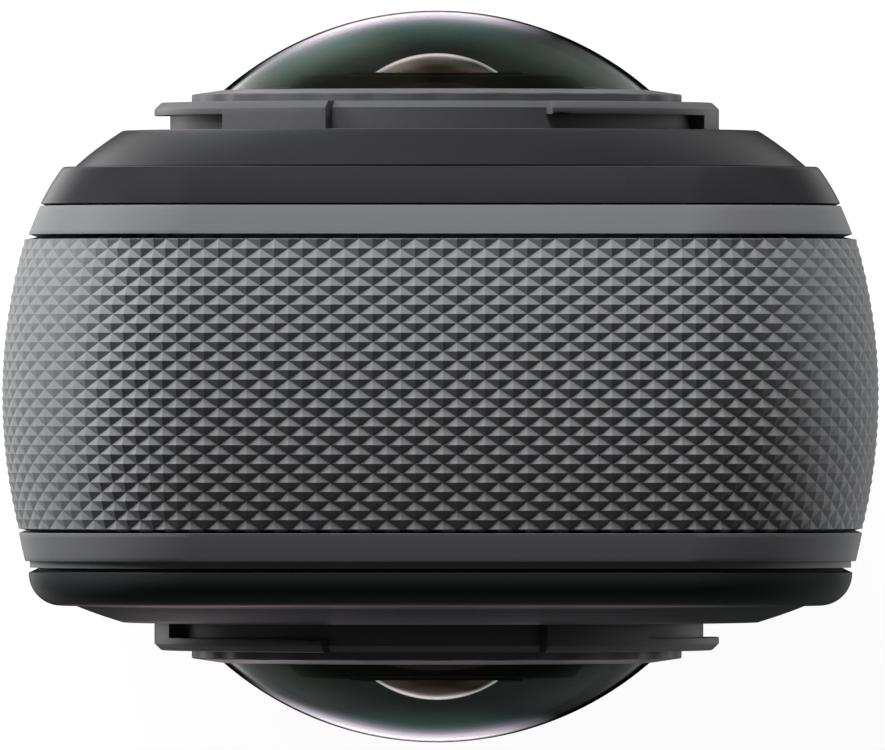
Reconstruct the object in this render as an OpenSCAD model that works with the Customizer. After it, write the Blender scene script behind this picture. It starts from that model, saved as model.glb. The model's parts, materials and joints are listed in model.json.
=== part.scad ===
// 360 degree camera: a slim upright body with a dome lens on each broad face.
// Millimetres. Z is up and the standing face is z = 0. The lens axis runs along Y.
// The screen side faces -Y and the rear faces +Y. The battery side faces -X.

/* [Body] */
// Width across the crown of the barrel-shaped sides
body_w = 46; // [45:0.5:50]
// Height from the standing face to the crown of the top end
body_h = 124.5; // [122:0.5:136]
// Corner radius of the outline at the crown
corner_r = 10; // [9:0.25:11]
// Radius of the barrel section of the sides
barrel_r = 29; // [26:0.5:45]
// Place of the barrel's crown along the lens axis
barrel_y = -1; // [-1.4:0.1:-0.4]
// Height of the crown that is cut off underneath to stand on
foot_cut = 0.9; // [0.7:0.05:1.2]

/* [Depth] */
// Depth of the knurled grip ahead of the lens plane
grip_front = 8.1; // [7.8:0.1:8.5]
// Depth of the knurled grip behind the lens plane
grip_rear = 7.2; // [7:0.1:7.8]
// Width of the seams beside the grip
seam = 0.15; // [0.1:0.05:0.3]
// Depth of the smooth rim on the screen side
front_rim_d = 1.8; // [1.6:0.1:2.2]
// Depth of the set-back step along the front rim's outer edge
rim_step_d = 0.35; // [0.2:0.05:0.5]
// Distance that the step lies inside the rim
rim_step_in = 0.25; // [0.15:0.05:0.4]
// Depth of the smooth rim on the rear side
rear_rim_d = 1.6; // [1.4:0.1:2]
// Width of the groove that the front gasket fills
front_groove = 0.15; // [0.1:0.05:0.35]
// Depth of the front cover
front_cover_d = 1.82; // [1.7:0.01:2]
// Depth of the rear cover
rear_cover_d = 2; // [1.9:0.05:2.3]

/* [Shell] */
// Thickness of the grip band at its crown
skin_t = 2.95; // [2.8:0.05:3.2]
// Wall thickness of the inner frame
chassis_wall = 1.4; // [1.2:0.1:1.6]
// Wall thickness of the two covers
cover_wall = 1.2; // [1:0.05:1.3]
// Radius of the front cover's outer edge
front_edge_r = 1.7; // [1.6:0.05:2]
// Distance of the front cover's outer edge inside the crown
front_edge_inset = 1.4; // [1.2:0.1:1.8]
// Distance of the rear cover's outer edge inside the crown
rear_edge_inset = 2; // [1.8:0.1:2.4]
// Lean of the rear cover's edge where it leaves the rim, in degrees
rear_edge_lean = 25; // [20:1:30]
// Gap between pieces that are fixed to each other
fit_gap = 0.05; // [0.03:0.01:0.08]
// Gap beside pieces that move
run_gap = 0.3; // [0.25:0.05:0.4]

/* [Lens] */
// Offset of the lens axis from the middle of the body
lens_x = -0.2; // [-0.5:0.1:0.5]
// Distance of the lens platforms from the lens plane
platform_y = 13; // [12.8:0.1:13.6]
// Radius of the platforms' flat tops
platform_r = 16.8; // [16.4:0.1:17.2]
// Radius of the platforms where they leave the covers
platform_base_r = 19.2; // [18.6:0.1:19.3]
// Swell of the platforms' flanks beyond a straight cone
platform_bulge = 0.12; // [0:0.02:0.2]
// Radius of the bayonet's neck
neck_r = 14.1; // [13.8:0.05:14.2]
// Reach of the bayonet lugs beyond the neck
lug_out = 0.73; // [0.5:0.01:1.3]
// Height of the neck below the lugs
neck_h = 0.77; // [0.6:0.05:1.2]
// Thickness of the lugs
lug_t = 0.7; // [0.6:0.05:1]
// Bevel on the lugs' outer edge
lug_bevel = 0.35; // [0.15:0.05:0.45]
// Angle of each entry gap
gap_angle = 45; // [38:1:50]
// Angle of each undercut lug
lug_angle = 47; // [36:1:50]
// Radius of the fluted retaining ring
retainer_r = 12.9; // [12.6:0.05:13.3]
// Height of the retaining ring
retainer_h = 0.68; // [0.6:0.02:0.9]
// Count of flutes on the retaining ring
flute_count = 24; // [16:1:26]
// Depth of the flutes
flute_depth = 0.2; // [0.2:0.05:0.45]
// Outer radius of the glass dome
dome_r = 17.2; // [16.2:0.1:17.4]
// Height of the dome above its retaining ring
dome_rise = 4.2; // [3.8:0.05:4.4]
// Thickness of the dome's glass
dome_t = 1; // [0.8:0.05:1.2]
// Radius of the small lens seen through the dome
second_r = 3.5; // [3:0.1:4]
// Radius of curvature of that lens
second_curve_r = 5.58; // [5.2:0.05:7]

/* [Screen] */
// Distance of the screen glass inside the crown of the sides
screen_side = 5; // [4.75:0.25:7]
// Height of the screen's lower edge above the standing face
screen_low_z = 21.5; // [20.5:0.5:30]
// Gap between the screen and the foot of the lens platform
screen_top_gap = 3.8; // [3.4:0.1:6]
// Corner radius of the screen glass
screen_r = 4; // [2.5:0.25:6]
// Thickness of the screen glass
screen_t = 0.8; // [0.6:0.05:0.85]

/* [Buttons] */
// Length of the two front buttons
front_button_l = 13; // [11:0.5:14]
// Width of the two front buttons
front_button_w = 6.6; // [5.5:0.2:7]
// Distance between the front buttons' middles
front_button_pitch = 17; // [16.5:0.5:18]
// Height of the front buttons above the standing face
front_button_z = 12.4; // [12:0.1:13]
// Length of the side buttons
side_button_l = 13; // [10:0.5:14]
// Width of the side buttons
side_button_w = 4.8; // [4:0.2:5.6]
// Place of the power button, as a share of the side between port door and lens shelf
power_share = 0.754; // [0.72:0.01:0.8]
// Place of the quick button, as a share of the side between port door and lens shelf
quick_share = 0.368; // [0.3:0.01:0.42]
// Travel of every button
press = 0.4; // [0.3:0.05:0.5]

/* [Battery] */
// Width of the battery's outer face
battery_w = 11.2; // [10.6:0.2:11.6]
// Height of the battery's lower edge above the standing face
battery_low_z = 26; // [25:0.5:32]
// Distance of the battery's upper edge below the lens axis
battery_drop = 19.5; // [19:0.1:24]
// Width of the memory card's slot beside the battery
card_w = 10; // [9.8:0.1:11]
// Travel of the battery latches
latch_travel = 2; // [1.4:0.1:2.4]

/* [Port] */
// Height of the port's middle above the standing face
port_z = 24; // [23.4:0.1:24.6]
// Width of the port door
door_w = 9; // [8:0.2:9.6]

/* [Tripod] */
// Radius of the tripod thread's tapping bore
thread_r = 2.55; // [2.5:0.01:3.2]
// Depth of the tripod thread
thread_depth = 8; // [6:0.25:8.5]
// Radius of the thread insert
insert_r = 4.2; // [4:0.1:5]

/* [Hidden] */
$fn = 72;
half_w = body_w / 2;
low_z = -foot_cut;
corner_low_z = low_z + corner_r;
corner_high_z = body_h - corner_r;
flat_half = half_w - corner_r;

front_rim_y1 = -(grip_front + seam);
front_rim_y0 = front_rim_y1 - front_rim_d;
rim_step_y = front_rim_y0 + rim_step_d;
rim_step_key = 0.4;
rim_step_inset = barrel_r - sqrt(pow(barrel_r, 2) - pow(rim_step_y - barrel_y, 2)) + rim_step_in;
front_cover_y1 = front_rim_y0 - front_groove;
front_face_y = front_cover_y1 - front_cover_d;
front_under_y = front_face_y + cover_wall;
rear_rim_y0 = grip_rear + seam;
rear_rim_y1 = rear_rim_y0 + rear_rim_d;
rear_cover_y0 = rear_rim_y1 + fit_gap;
rear_face_y = rear_cover_y0 + rear_cover_d;
rear_under_y = rear_face_y - cover_wall;

chassis_inset = skin_t + fit_gap;
chassis_y0 = front_rim_y0 + fit_gap;
chassis_y1 = rear_rim_y1 - fit_gap;
chassis_x = half_w - chassis_inset;
bay_x = chassis_x - chassis_wall;
pocket_inset = chassis_inset + chassis_wall + 0.1;
rear_edge_r = 11;

lens_z = body_h - half_w;
lug_r = neck_r + lug_out;
mount_top = platform_y + neck_h + lug_t;
retainer_top = mount_top + retainer_h;
dome_apex = retainer_top + dome_rise;
dome_c = dome_apex - dome_r;
dome_seat = mount_top + 0.03;
seal_low = dome_seat - 0.5;
edge_r = sqrt(dome_r * dome_r - (dome_seat - dome_c) * (dome_seat - dome_c));
bore_r = edge_r - 1.76;
flange_r = lug_r + 0.77;
sleeve_r = neck_r - 0.1;
flange_top = platform_y - cover_wall;
flange_low = flange_top - 1;
screw_ring_r = neck_r + 0.8;
shaft_r = bore_r - 0.5;
optic_r = shaft_r - 2.4;
sensor_board_half = optic_r + 4;
shaft_top = seal_low + 0.4;
second_top = shaft_top + 2.56;
second_c = second_top - second_curve_r;
second_edge = second_c + sqrt(second_curve_r * second_curve_r - second_r * second_r);
baffle_top = second_edge + 0.28;
spread_half = 0.8;
spread_x = flange_r - 2.6;
spread_z = flange_r - 1.6;
pad_t = 0.8;
sensor_low = spread_half + pad_t + 1;
sensor_top = sensor_low + 1.4;

platform_base_z = lens_z - platform_base_r;
screen_w = body_w - 2 * screen_side;
screen_h = platform_base_z - screen_top_gap - screen_low_z;
screen_z = screen_low_z + screen_h / 2;

board_t = 1;
side_switch_x = bay_x - 0.3;
side_board_x = side_switch_x - 0.9;
stem_end_x = side_switch_x + press + 0.05;
flange_x1 = half_w - 1.4;
flange_x0 = flange_x1 - 0.95;

tray_wall = 1;
battery_h = lens_z - battery_drop - battery_low_z;
battery_z = battery_low_z + battery_h / 2;
case_w = battery_w - 0.6;
case_h = battery_h - 2;
face_t = 2.4;
face_r = 1;
face_back_x = half_w - face_t;
card_x = side_board_x - board_t - 1 - card_w;
tray_end_x = card_x - 0.4 - tray_wall;
case_end_x = tray_end_x - 0.6;
tray_half_y = case_w / 2 + run_gap;
tray_half_z = case_h / 2 + run_gap;
tray_rear_y = barrel_y + tray_half_y + tray_wall;
shelf_z = battery_z + tray_half_z + tray_wall + 0.4;
shelf_t = 1.2;
latch_w = 4.4;
latch_l = 6;
latch_z = battery_h / 2 - 8;
latch_base_x0 = half_w - 1.9;
latch_base_x1 = half_w - 1.3;
latch_top_x = half_w - 0.3;

boss_half_x = 7.5;
boss_half_y = 6.5;
boss_top = 10.6;
front_switch_y = -boss_half_y - board_t - 0.9;
front_flange_y0 = front_under_y + run_gap;

door_knuckle_r = 1.2;
door_h = 16;
door_z0 = port_z - 9;
hinge_x = half_w - 1.6;
hinge_z = door_z0 + 1.3;
door_back_x = half_w - 1.8;
door_top = door_z0 + door_h;
power_z = door_top + power_share * (shelf_z - door_top);
quick_z = door_top + quick_share * (shelf_z - door_top);
port_w = 3.3;
port_l = 9;
port_x1 = chassis_x + 0.4;

speaker_x = half_w - 14;
speaker_z = 17;
mic_x = 9;
mic_z = platform_base_z - 2;

// A flat shape drawn in (x, z), extruded from y0 to y1
module along_y(y0, y1) {
    translate([0, y1, 0])
        rotate([90, 0, 0])
            linear_extrude(y1 - y0)
                children();
}

// A flat shape drawn in (y, z), extruded from x0 to x1
module along_x(x0, x1) {
    translate([x0, 0, 0])
        rotate([90, 0, 90])
            linear_extrude(x1 - x0)
                children();
}

// A box between two corners
module block(low, high) {
    translate(low)
        cube(high - low);
}

// A rectangle with round corners about the origin
module rounded_2d(w, h, r) {
    square([w - 2 * r, h], center = true);
    square([w, h - 2 * r], center = true);
    for (x = [-1, 1], y = [-1, 1]) {
        translate([x * (w / 2 - r), y * (h / 2 - r)])
            circle(r = r);
    }
}

// A slot with round ends, longer along its second axis
module pill_2d(w, l) {
    square([w, l - w], center = true);
    for (y = [-1, 1]) {
        translate([0, y * (l - w) / 2])
            circle(d = w);
    }
}

// The body's outline in (x, z), drawn in by an inset from the crown
module outline_2d(inset) {
    reach = half_w - inset;
    translate([-reach, corner_low_z])
        square([2 * reach, corner_high_z - corner_low_z]);
    translate([-flat_half, low_z + inset])
        square([2 * flat_half, body_h - low_z - 2 * inset]);
    for (x = [-flat_half, flat_half], z = [corner_low_z, corner_high_z]) {
        translate([x, z])
            circle(r = corner_r - inset);
    }
}

// Section of the barrel from depth y0 to y1, in (distance outside the crown, y)
module barrel_2d(y0, y1, thick) {
    intersection() {
        translate([-barrel_r, barrel_y])
            circle(r = barrel_r, $fn = 180);
        translate([-thick, y0])
            square([thick + 1, y1 - y0]);
    }
}

// Section of the rear cover's edge
module rear_edge_2d() {
    x = -rear_edge_inset - rear_edge_r * cos(rear_edge_lean);
    y = rear_cover_y0 - rear_edge_r * sin(rear_edge_lean);
    intersection() {
        translate([x, y])
            circle(r = rear_edge_r, $fn = 180);
        translate([-6.2, rear_cover_y0])
            square([6, rear_cover_d]);
    }
}

// Section of the front cover's edge
module front_edge_2d() {
    bend = -front_edge_inset - front_edge_r;
    translate([-6.2, front_face_y])
        square([6.2 + bend, front_cover_d]);
    intersection() {
        translate([bend, front_face_y + front_edge_r])
            circle(r = front_edge_r);
        translate([bend - 0.2, front_face_y])
            square([front_edge_r + 1, front_cover_d]);
    }
}

// One quarter turn of a section around a corner of the outline
module corner_sweep() {
    rotate([-90, 0, 0])
        rotate([0, 0, -90])
            rotate_extrude(angle = 90)
                translate([corner_r, 0])
                    children();
}

// A section swept along the straight top of the outline
module top_sweep() {
    translate([flat_half, 0, body_h])
        rotate([0, -90, 0])
            linear_extrude(2 * flat_half)
                children();
    for (side = [0, 1]) {
        mirror([side, 0, 0])
            translate([flat_half, 0, corner_high_z])
                corner_sweep()
                    children();
    }
}

// A section swept along the straight bottom of the outline
module bottom_sweep() {
    translate([flat_half, 0, low_z])
        mirror([0, 0, 1])
            rotate([0, -90, 0])
                linear_extrude(2 * flat_half)
                    children();
    for (side = [0, 1]) {
        mirror([side, 0, 0])
            translate([flat_half, 0, corner_low_z])
                mirror([0, 0, 1])
                    corner_sweep()
                        children();
    }
}

// A section swept up one straight side of the outline
module side_sweep(z0, z1) {
    translate([half_w, 0, z0])
        linear_extrude(z1 - z0)
            children();
}

// A section swept around the whole outline
module full_sweep() {
    top_sweep()
        children();
    bottom_sweep()
        children();
    for (side = [0, 1]) {
        mirror([side, 0, 0])
            side_sweep(corner_low_z, corner_high_z)
                children();
    }
}

// Everything below the standing face
module below_floor() {
    block([-body_w, -body_w, -corner_r], [body_w, body_w, 0]);
}

// Frame of a lens: local z runs outwards along the lens axis, from the lens plane
module lens_frame(rear, x = lens_x) {
    translate([x, 0, lens_z])
        rotate([0, 0, rear ? 0 : 180])
            rotate([-90, 0, 0])
                children();
}

// A ring swept part of the way around the lens axis, clockwise seen from above the rear lens
module lens_arc(start, span) {
    rotate([0, 0, start - 90])
        rotate_extrude(angle = span)
            children();
}

// Hole pattern of the lens screws
module at_lens_screws() {
    for (k = [0 : 2]) {
        rotate([0, 0, 120 * k + 30])
            translate([screw_ring_r, 0, 0])
                children();
    }
}

module chassis_solid() {
    along_y(chassis_y0, chassis_y1)
        difference() {
            outline_2d(chassis_inset);
            outline_2d(chassis_inset + chassis_wall);
        }
    block([-bay_x - 0.2, chassis_y0 + 1, shelf_z], [bay_x + 0.2, chassis_y1 - 0.4, shelf_z + shelf_t]);
    block(
        [-bay_x - 0.2, barrel_y - tray_half_y - tray_wall, battery_z - tray_half_z - tray_wall],
        [tray_end_x + tray_wall, tray_rear_y, battery_z + tray_half_z + tray_wall]
    );
    block([-boss_half_x, -boss_half_y, low_z + chassis_inset + 0.2], [boss_half_x, boss_half_y, boss_top]);
    for (z = [door_z0 - 2.6, shelf_z - 1.6]) {
        block([side_board_x, barrel_y - 4, z - 0.8], [bay_x + 0.2, barrel_y + 4, z + 0.8]);
    }
}

module chassis() {
    color([0.26, 0.27, 0.29])
        difference() {
            chassis_solid();
            block(
                [-bay_x - 0.3, barrel_y - tray_half_y, battery_z - tray_half_z],
                [tray_end_x, barrel_y + tray_half_y, battery_z + tray_half_z]
            );
            translate([0, barrel_y, battery_z])
                along_x(-chassis_x - 1, -bay_x + 0.1)
                    square([case_w + 0.8 + 2 * run_gap, case_h + 1 + 2 * run_gap], center = true);
            translate([0, barrel_y, port_z])
                along_x(bay_x - 0.1, chassis_x + 1)
                    square([port_w + 2 * fit_gap, port_l + 2 * fit_gap], center = true);
            for (z = [power_z, quick_z]) {
                translate([bay_x - 0.5, barrel_y, z])
                    rotate([0, 90, 0])
                        cylinder(r = 1.5, h = chassis_wall + 1);
            }
            block(
                [chassis_x - 0.3, barrel_y - door_w / 2 - run_gap, hinge_z - 1.95],
                [chassis_x + 1, barrel_y + door_w / 2 + run_gap, hinge_z + 1.6]
            );
            cylinder(r = insert_r + fit_gap, h = boss_top + 0.5);
            at_board_screws()
                cylinder(r = 0.72, h = tray_wall + 1, center = true);
        }
}

module grip_band() {
    color([0.36, 0.37, 0.39])
        difference() {
            union() {
                top_sweep()
                    barrel_2d(-grip_front, grip_rear, skin_t);
                for (side = [0, 1]) {
                    mirror([side, 0, 0])
                        side_sweep(corner_low_z + seam, corner_high_z)
                            barrel_2d(-grip_front, grip_rear, skin_t);
                }
            }
            translate([0, barrel_y, battery_z])
                along_x(-half_w - 1, -chassis_x)
                    rounded_2d(battery_w + 2 * run_gap, battery_h + 2 * run_gap, face_r + run_gap);
            translate([0, barrel_y, door_z0 + door_h / 2 - 0.325])
                along_x(chassis_x, half_w + 1)
                    rounded_2d(door_w + 2 * run_gap, door_h + run_gap + 0.65, 0.8);
            translate([hinge_x, barrel_y, hinge_z])
                rotate([90, 0, 0])
                    cylinder(r = 0.52, h = door_w + 4.2, center = true);
            for (z = [power_z, quick_z]) {
                translate([0, barrel_y, z]) {
                    along_x(chassis_x, half_w + 1)
                        pill_2d(side_button_w + 2 * run_gap, side_button_l + 2 * run_gap);
                    along_x(chassis_x, flange_x1 + run_gap)
                        pill_2d(side_button_w + 1.2 + 2 * run_gap, side_button_l + 1.2 + 2 * run_gap);
                }
            }
        }
}

module base_cap() {
    color([0.2, 0.2, 0.22])
        difference() {
            bottom_sweep()
                barrel_2d(-grip_front, grip_rear, skin_t);
            below_floor();
            cylinder(r = insert_r + fit_gap, h = 8);
            translate([0, 0, -1])
                cylinder(r = insert_r + 1.2 + fit_gap, h = 2.3);
        }
}

module rim(y0, y1) {
    difference() {
        full_sweep()
            barrel_2d(y0, y1, skin_t);
        below_floor();
    }
}

// Front rim with a set-back step beside the gasket, keyed into the rim's front
module front_rim() {
    color([0.3, 0.31, 0.33]) {
        rim(rim_step_y, front_rim_y1);
        along_y(front_rim_y0, rim_step_y + rim_step_key)
            difference() {
                outline_2d(rim_step_inset);
                outline_2d(skin_t - 0.3);
            }
    }
}

module rear_rim() {
    color([0.4, 0.41, 0.43])
        rim(rear_rim_y0, rear_rim_y1);
}

module front_gasket() {
    color([0.04, 0.04, 0.05])
        along_y(front_cover_y1, front_rim_y0)
            difference() {
                outline_2d(front_edge_inset + 0.5);
                outline_2d(pocket_inset);
            }
}

// Raised round platform of a lens, from a cover's inner side to its flat top
module platform(rear) {
    low = rear ? rear_face_y : -front_face_y;
    lens_frame(rear, 0)
        rotate_extrude($fn = 144)
            polygon([
                [0, low - 0.6],
                [platform_r, low - 0.6],
                [platform_r, low],
                [platform_base_r, low],
                [(platform_base_r + platform_r) / 2 + platform_bulge, (low + platform_y) / 2],
                [platform_r, platform_y],
                [0, platform_y]
            ]);
}

// What a lens mount takes out of its cover
module platform_cut(rear) {
    low = rear ? rear_cover_y0 : -front_cover_y1;
    lens_frame(rear) {
        translate([0, 0, low - 1])
            cylinder(r = flange_r + run_gap, h = flange_top - low + 1);
        cylinder(r = sleeve_r + fit_gap, h = platform_y + 1);
        at_lens_screws()
            translate([0, 0, flange_top - 0.5])
                cylinder(r = 0.5, h = 1.3);
    }
}

module front_cover() {
    color([0.1, 0.1, 0.11])
        difference() {
            union() {
                full_sweep()
                    front_edge_2d();
                along_y(front_face_y, front_cover_y1)
                    outline_2d(6);
                platform(false);
            }
            along_y(front_under_y, front_cover_y1 + 1)
                outline_2d(pocket_inset);
            platform_cut(false);
            translate([0, 0, screen_z]) {
                along_y(front_face_y - 1, front_face_y + screen_t)
                    rounded_2d(screen_w + 2 * fit_gap, screen_h + 2 * fit_gap, screen_r + fit_gap);
                along_y(front_face_y - 1, front_cover_y1 + 1)
                    rounded_2d(screen_w - 3, screen_h - 3, screen_r - 1);
            }
            for (side = [-1, 1]) {
                translate([side * front_button_pitch / 2, 0, front_button_z])
                    along_y(front_face_y - 1, front_cover_y1 + 1)
                        rotate([0, 0, 90])
                            pill_2d(front_button_w + 2 * run_gap, front_button_l + 2 * run_gap);
                translate([side * mic_x, 0, mic_z])
                    along_y(front_face_y - 1, front_cover_y1 + 1)
                        circle(r = 0.45, $fn = 24);
            }
            translate([0, 0, mic_z])
                along_y(front_face_y - 1, front_cover_y1 + 1)
                    rotate([0, 0, 90])
                        pill_2d(1 + 2 * fit_gap, 3 + 2 * fit_gap);
        }
}

module rear_cover() {
    color([0.12, 0.12, 0.13])
        difference() {
            union() {
                full_sweep()
                    rear_edge_2d();
                along_y(rear_cover_y0, rear_face_y)
                    outline_2d(6);
                platform(true);
            }
            along_y(rear_cover_y0 - 1, rear_under_y)
                outline_2d(pocket_inset);
            platform_cut(true);
            for (k = [-2 : 2]) {
                translate([speaker_x, 0, speaker_z + 1.6 * k])
                    along_y(rear_cover_y0, rear_face_y + 1)
                        rotate([0, 0, 90])
                            pill_2d(0.8, 6.4);
            }
            for (side = [-1, 1]) {
                translate([side * mic_x, 0, mic_z])
                    along_y(rear_cover_y0, rear_face_y + 1)
                        circle(r = 0.45, $fn = 24);
            }
            translate([0, 0, mic_z])
                along_y(rear_cover_y0, rear_face_y + 1)
                    rotate([0, 0, 90])
                        pill_2d(1 + 2 * fit_gap, 3 + 2 * fit_gap);
        }
}

// Bayonet ring: one turned body with the entry gaps and the undercuts taken out of its rim
module lens_mount(rear) {
    bevel_z = mount_top - lug_bevel;
    color([0.2, 0.2, 0.21])
        lens_frame(rear)
            difference() {
                rotate_extrude()
                    polygon([
                        [bore_r, flange_low - 2],
                        [neck_r - 0.9, flange_low - 2],
                        [neck_r - 0.9, flange_low],
                        [flange_r, flange_low],
                        [flange_r, flange_top],
                        [sleeve_r, flange_top],
                        [sleeve_r, platform_y],
                        [lug_r, platform_y],
                        [lug_r, bevel_z],
                        [lug_r - lug_bevel, mount_top],
                        [edge_r + 0.04, mount_top],
                        [edge_r + 0.04, seal_low],
                        [bore_r, seal_low]
                    ]);
                for (k = [0 : 2]) {
                    lens_arc(22 - gap_angle + 120 * k, gap_angle)
                        polygon([
                            [neck_r, platform_y - 0.5],
                            [lug_r + 1, platform_y - 0.5],
                            [lug_r + 1, mount_top + 1],
                            [neck_r - lug_bevel - 1, mount_top + 1],
                            [neck_r, bevel_z]
                        ]);
                    lens_arc(20 + 120 * k, lug_angle + 2)
                        translate([neck_r + 0.06, platform_y - 0.5])
                            square([lug_r, neck_h + 0.5]);
                }
                at_lens_screws()
                    translate([0, 0, flange_low - 0.5])
                        cylinder(r = 0.55, h = 1.5);
            }
}

module front_lens_mount() {
    lens_mount(false);
}

module rear_lens_mount() {
    lens_mount(true);
}

// Fluted ring that clamps the dome
module retainer(rear) {
    cut_r = (1.3 * 1.3 + flute_depth * flute_depth) / (2 * flute_depth);
    color([0.16, 0.16, 0.17])
        lens_frame(rear)
            difference() {
                rotate_extrude()
                    polygon([
                        [edge_r - 2.4, mount_top],
                        [retainer_r, mount_top],
                        [retainer_r, retainer_top - 0.25],
                        [edge_r - 0.7, retainer_top],
                        [edge_r - 2.4, retainer_top]
                    ]);
                translate([0, 0, dome_c])
                    sphere(r = dome_r + fit_gap, $fn = 144);
                for (k = [0 : flute_count - 1]) {
                    rotate([0, 0, 360 / flute_count * k])
                        translate([retainer_r - flute_depth + cut_r, 0, mount_top - 1])
                            cylinder(r = cut_r, h = retainer_h + 2);
                }
            }
}

module front_retainer() {
    retainer(false);
}

module rear_retainer() {
    retainer(true);
}

module dome(rear) {
    color([0.45, 0.55, 0.55, 0.4])
        lens_frame(rear)
            difference() {
                intersection() {
                    translate([0, 0, dome_c])
                        sphere(r = dome_r, $fn = 144);
                    translate([0, 0, dome_seat])
                        cylinder(r = dome_r, h = dome_r);
                }
                translate([0, 0, dome_c])
                    sphere(r = dome_r - dome_t, $fn = 144);
            }
}

module front_dome() {
    dome(false);
}

module rear_dome() {
    dome(true);
}

module dome_seal(rear) {
    color([0.05, 0.05, 0.05])
        lens_frame(rear)
            rotate_extrude()
                translate([edge_r - 1.26, seal_low])
                    square([1.1, dome_seat - seal_low]);
}

module front_dome_seal() {
    dome_seal(false);
}

module rear_dome_seal() {
    dome_seal(true);
}

// Stepped ring under the dome, around the second lens
module baffle(rear) {
    color([0.05, 0.05, 0.05])
        lens_frame(rear)
            rotate_extrude()
                polygon([
                    [second_r + fit_gap, shaft_top],
                    [shaft_r - 0.5, shaft_top],
                    [shaft_r - 0.5, shaft_top + 0.4],
                    [second_r + 4.4, shaft_top + 0.7],
                    [second_r + 3.7, baffle_top - 0.16],
                    [second_r + 1.1, baffle_top - 0.16],
                    [second_r + 1.1, baffle_top],
                    [second_r + fit_gap, baffle_top]
                ]);
}

module front_baffle() {
    baffle(false);
}

module rear_baffle() {
    baffle(true);
}

module second_lens(rear) {
    color([0.6, 0.45, 0.2, 0.7])
        lens_frame(rear) {
            intersection() {
                translate([0, 0, second_c])
                    sphere(r = second_curve_r, $fn = 96);
                translate([0, 0, shaft_top - 0.5])
                    cylinder(r = second_r, h = 6);
            }
            translate([0, 0, shaft_top - 2])
                cylinder(r = optic_r - fit_gap, h = 2 - fit_gap);
        }
}

module front_second_lens() {
    second_lens(false);
}

module rear_second_lens() {
    second_lens(true);
}

// Tube that carries the inner lenses over the sensor
module lens_shaft(rear) {
    color([0.1, 0.1, 0.1])
        lens_frame(rear)
            rotate_extrude()
                polygon([
                    [optic_r - 0.8, sensor_top],
                    [shaft_r, sensor_top],
                    [shaft_r, shaft_top],
                    [optic_r, shaft_top],
                    [optic_r, sensor_top + 2],
                    [optic_r - 0.8, sensor_top + 2]
                ]);
}

module front_barrel() {
    lens_shaft(false);
}

module rear_barrel() {
    lens_shaft(true);
}

module relay_lens(rear) {
    low = sensor_top + 2;
    high = shaft_top - 2;
    color([0.5, 0.6, 0.7, 0.5])
        lens_frame(rear)
            intersection() {
                translate([0, 0, low])
                    cylinder(r = optic_r - fit_gap, h = high - low);
                translate([0, 0, high - 14])
                    sphere(r = 14, $fn = 96);
            }
}

module front_relay_lens() {
    relay_lens(false);
}

module rear_relay_lens() {
    relay_lens(true);
}

module sensor(rear) {
    color([0.1, 0.12, 0.16])
        lens_frame(rear)
            translate([-7.5, -6, sensor_low])
                cube([15, 12, sensor_top - sensor_low]);
}

module front_sensor() {
    sensor(false);
}

module rear_sensor() {
    sensor(true);
}

module sensor_board(rear) {
    color([0.05, 0.2, 0.12])
        lens_frame(rear)
            translate([-sensor_board_half, -sensor_board_half, sensor_low - 1])
                cube([2 * sensor_board_half, 2 * sensor_board_half, 1]);
}

module front_sensor_board() {
    sensor_board(false);
}

module rear_sensor_board() {
    sensor_board(true);
}

module heat_spreader() {
    color([0.7, 0.7, 0.72])
        translate([lens_x, 0, lens_z])
            cube(2 * [spread_x, spread_half, spread_z], center = true);
}

module thermal_pads() {
    color([0.5, 0.6, 0.65])
        for (rear = [false, true]) {
            lens_frame(rear)
                translate([-optic_r, -optic_r, spread_half])
                    cube([2 * optic_r, 2 * optic_r, pad_t]);
        }
}

module lens_screws() {
    color([0.6, 0.6, 0.62])
        for (rear = [false, true]) {
            lens_frame(rear)
                at_lens_screws() {
                    translate([0, 0, flange_low - 0.6])
                        cylinder(r = 0.85, h = 0.6);
                    translate([0, 0, flange_low - 0.1])
                        cylinder(r = 0.45, h = 1.75);
                }
        }
}

module screen_glass() {
    color([0.02, 0.02, 0.03])
        translate([0, 0, screen_z])
            along_y(front_face_y, front_face_y + screen_t)
                rounded_2d(screen_w, screen_h, screen_r);
}

module display_panel() {
    color([0.08, 0.08, 0.1])
        translate([0, 0, screen_z])
            along_y(front_face_y + screen_t, front_face_y + screen_t + 1.6)
                rounded_2d(screen_w - 3.3, screen_h - 3.3, screen_r - 1.15);
}

// Sprung button under the screen: cap, hidden flange and stem
module front_button(side) {
    translate([side * front_button_pitch / 2, 0, front_button_z]) {
        along_y(front_face_y - 0.25, front_flange_y0 + 0.2)
            rotate([0, 0, 90])
                pill_2d(front_button_w, front_button_l);
        along_y(front_flange_y0, front_flange_y0 + 0.6)
            rotate([0, 0, 90])
                pill_2d(front_button_w + 1.6, front_button_l + 1.6);
        along_y(front_flange_y0 + 0.3, front_switch_y - press - 0.05)
            circle(r = 1.2);
    }
}

module shutter_button() {
    color([0.16, 0.16, 0.17])
        front_button(-1);
}

module mode_button() {
    color([0.16, 0.16, 0.17])
        front_button(1);
}

module button_board() {
    color([0.05, 0.2, 0.12]) {
        block(
            [-front_button_pitch / 2 - 6, -boss_half_y - board_t, front_button_z - 6.4],
            [front_button_pitch / 2 + 6, -boss_half_y, front_button_z + 6.6]
        );
        for (side = [-1, 1]) {
            translate([side * front_button_pitch / 2, 0, front_button_z])
                along_y(front_switch_y, -boss_half_y - board_t + 0.1)
                    square([3, 3], center = true);
        }
    }
}

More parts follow.
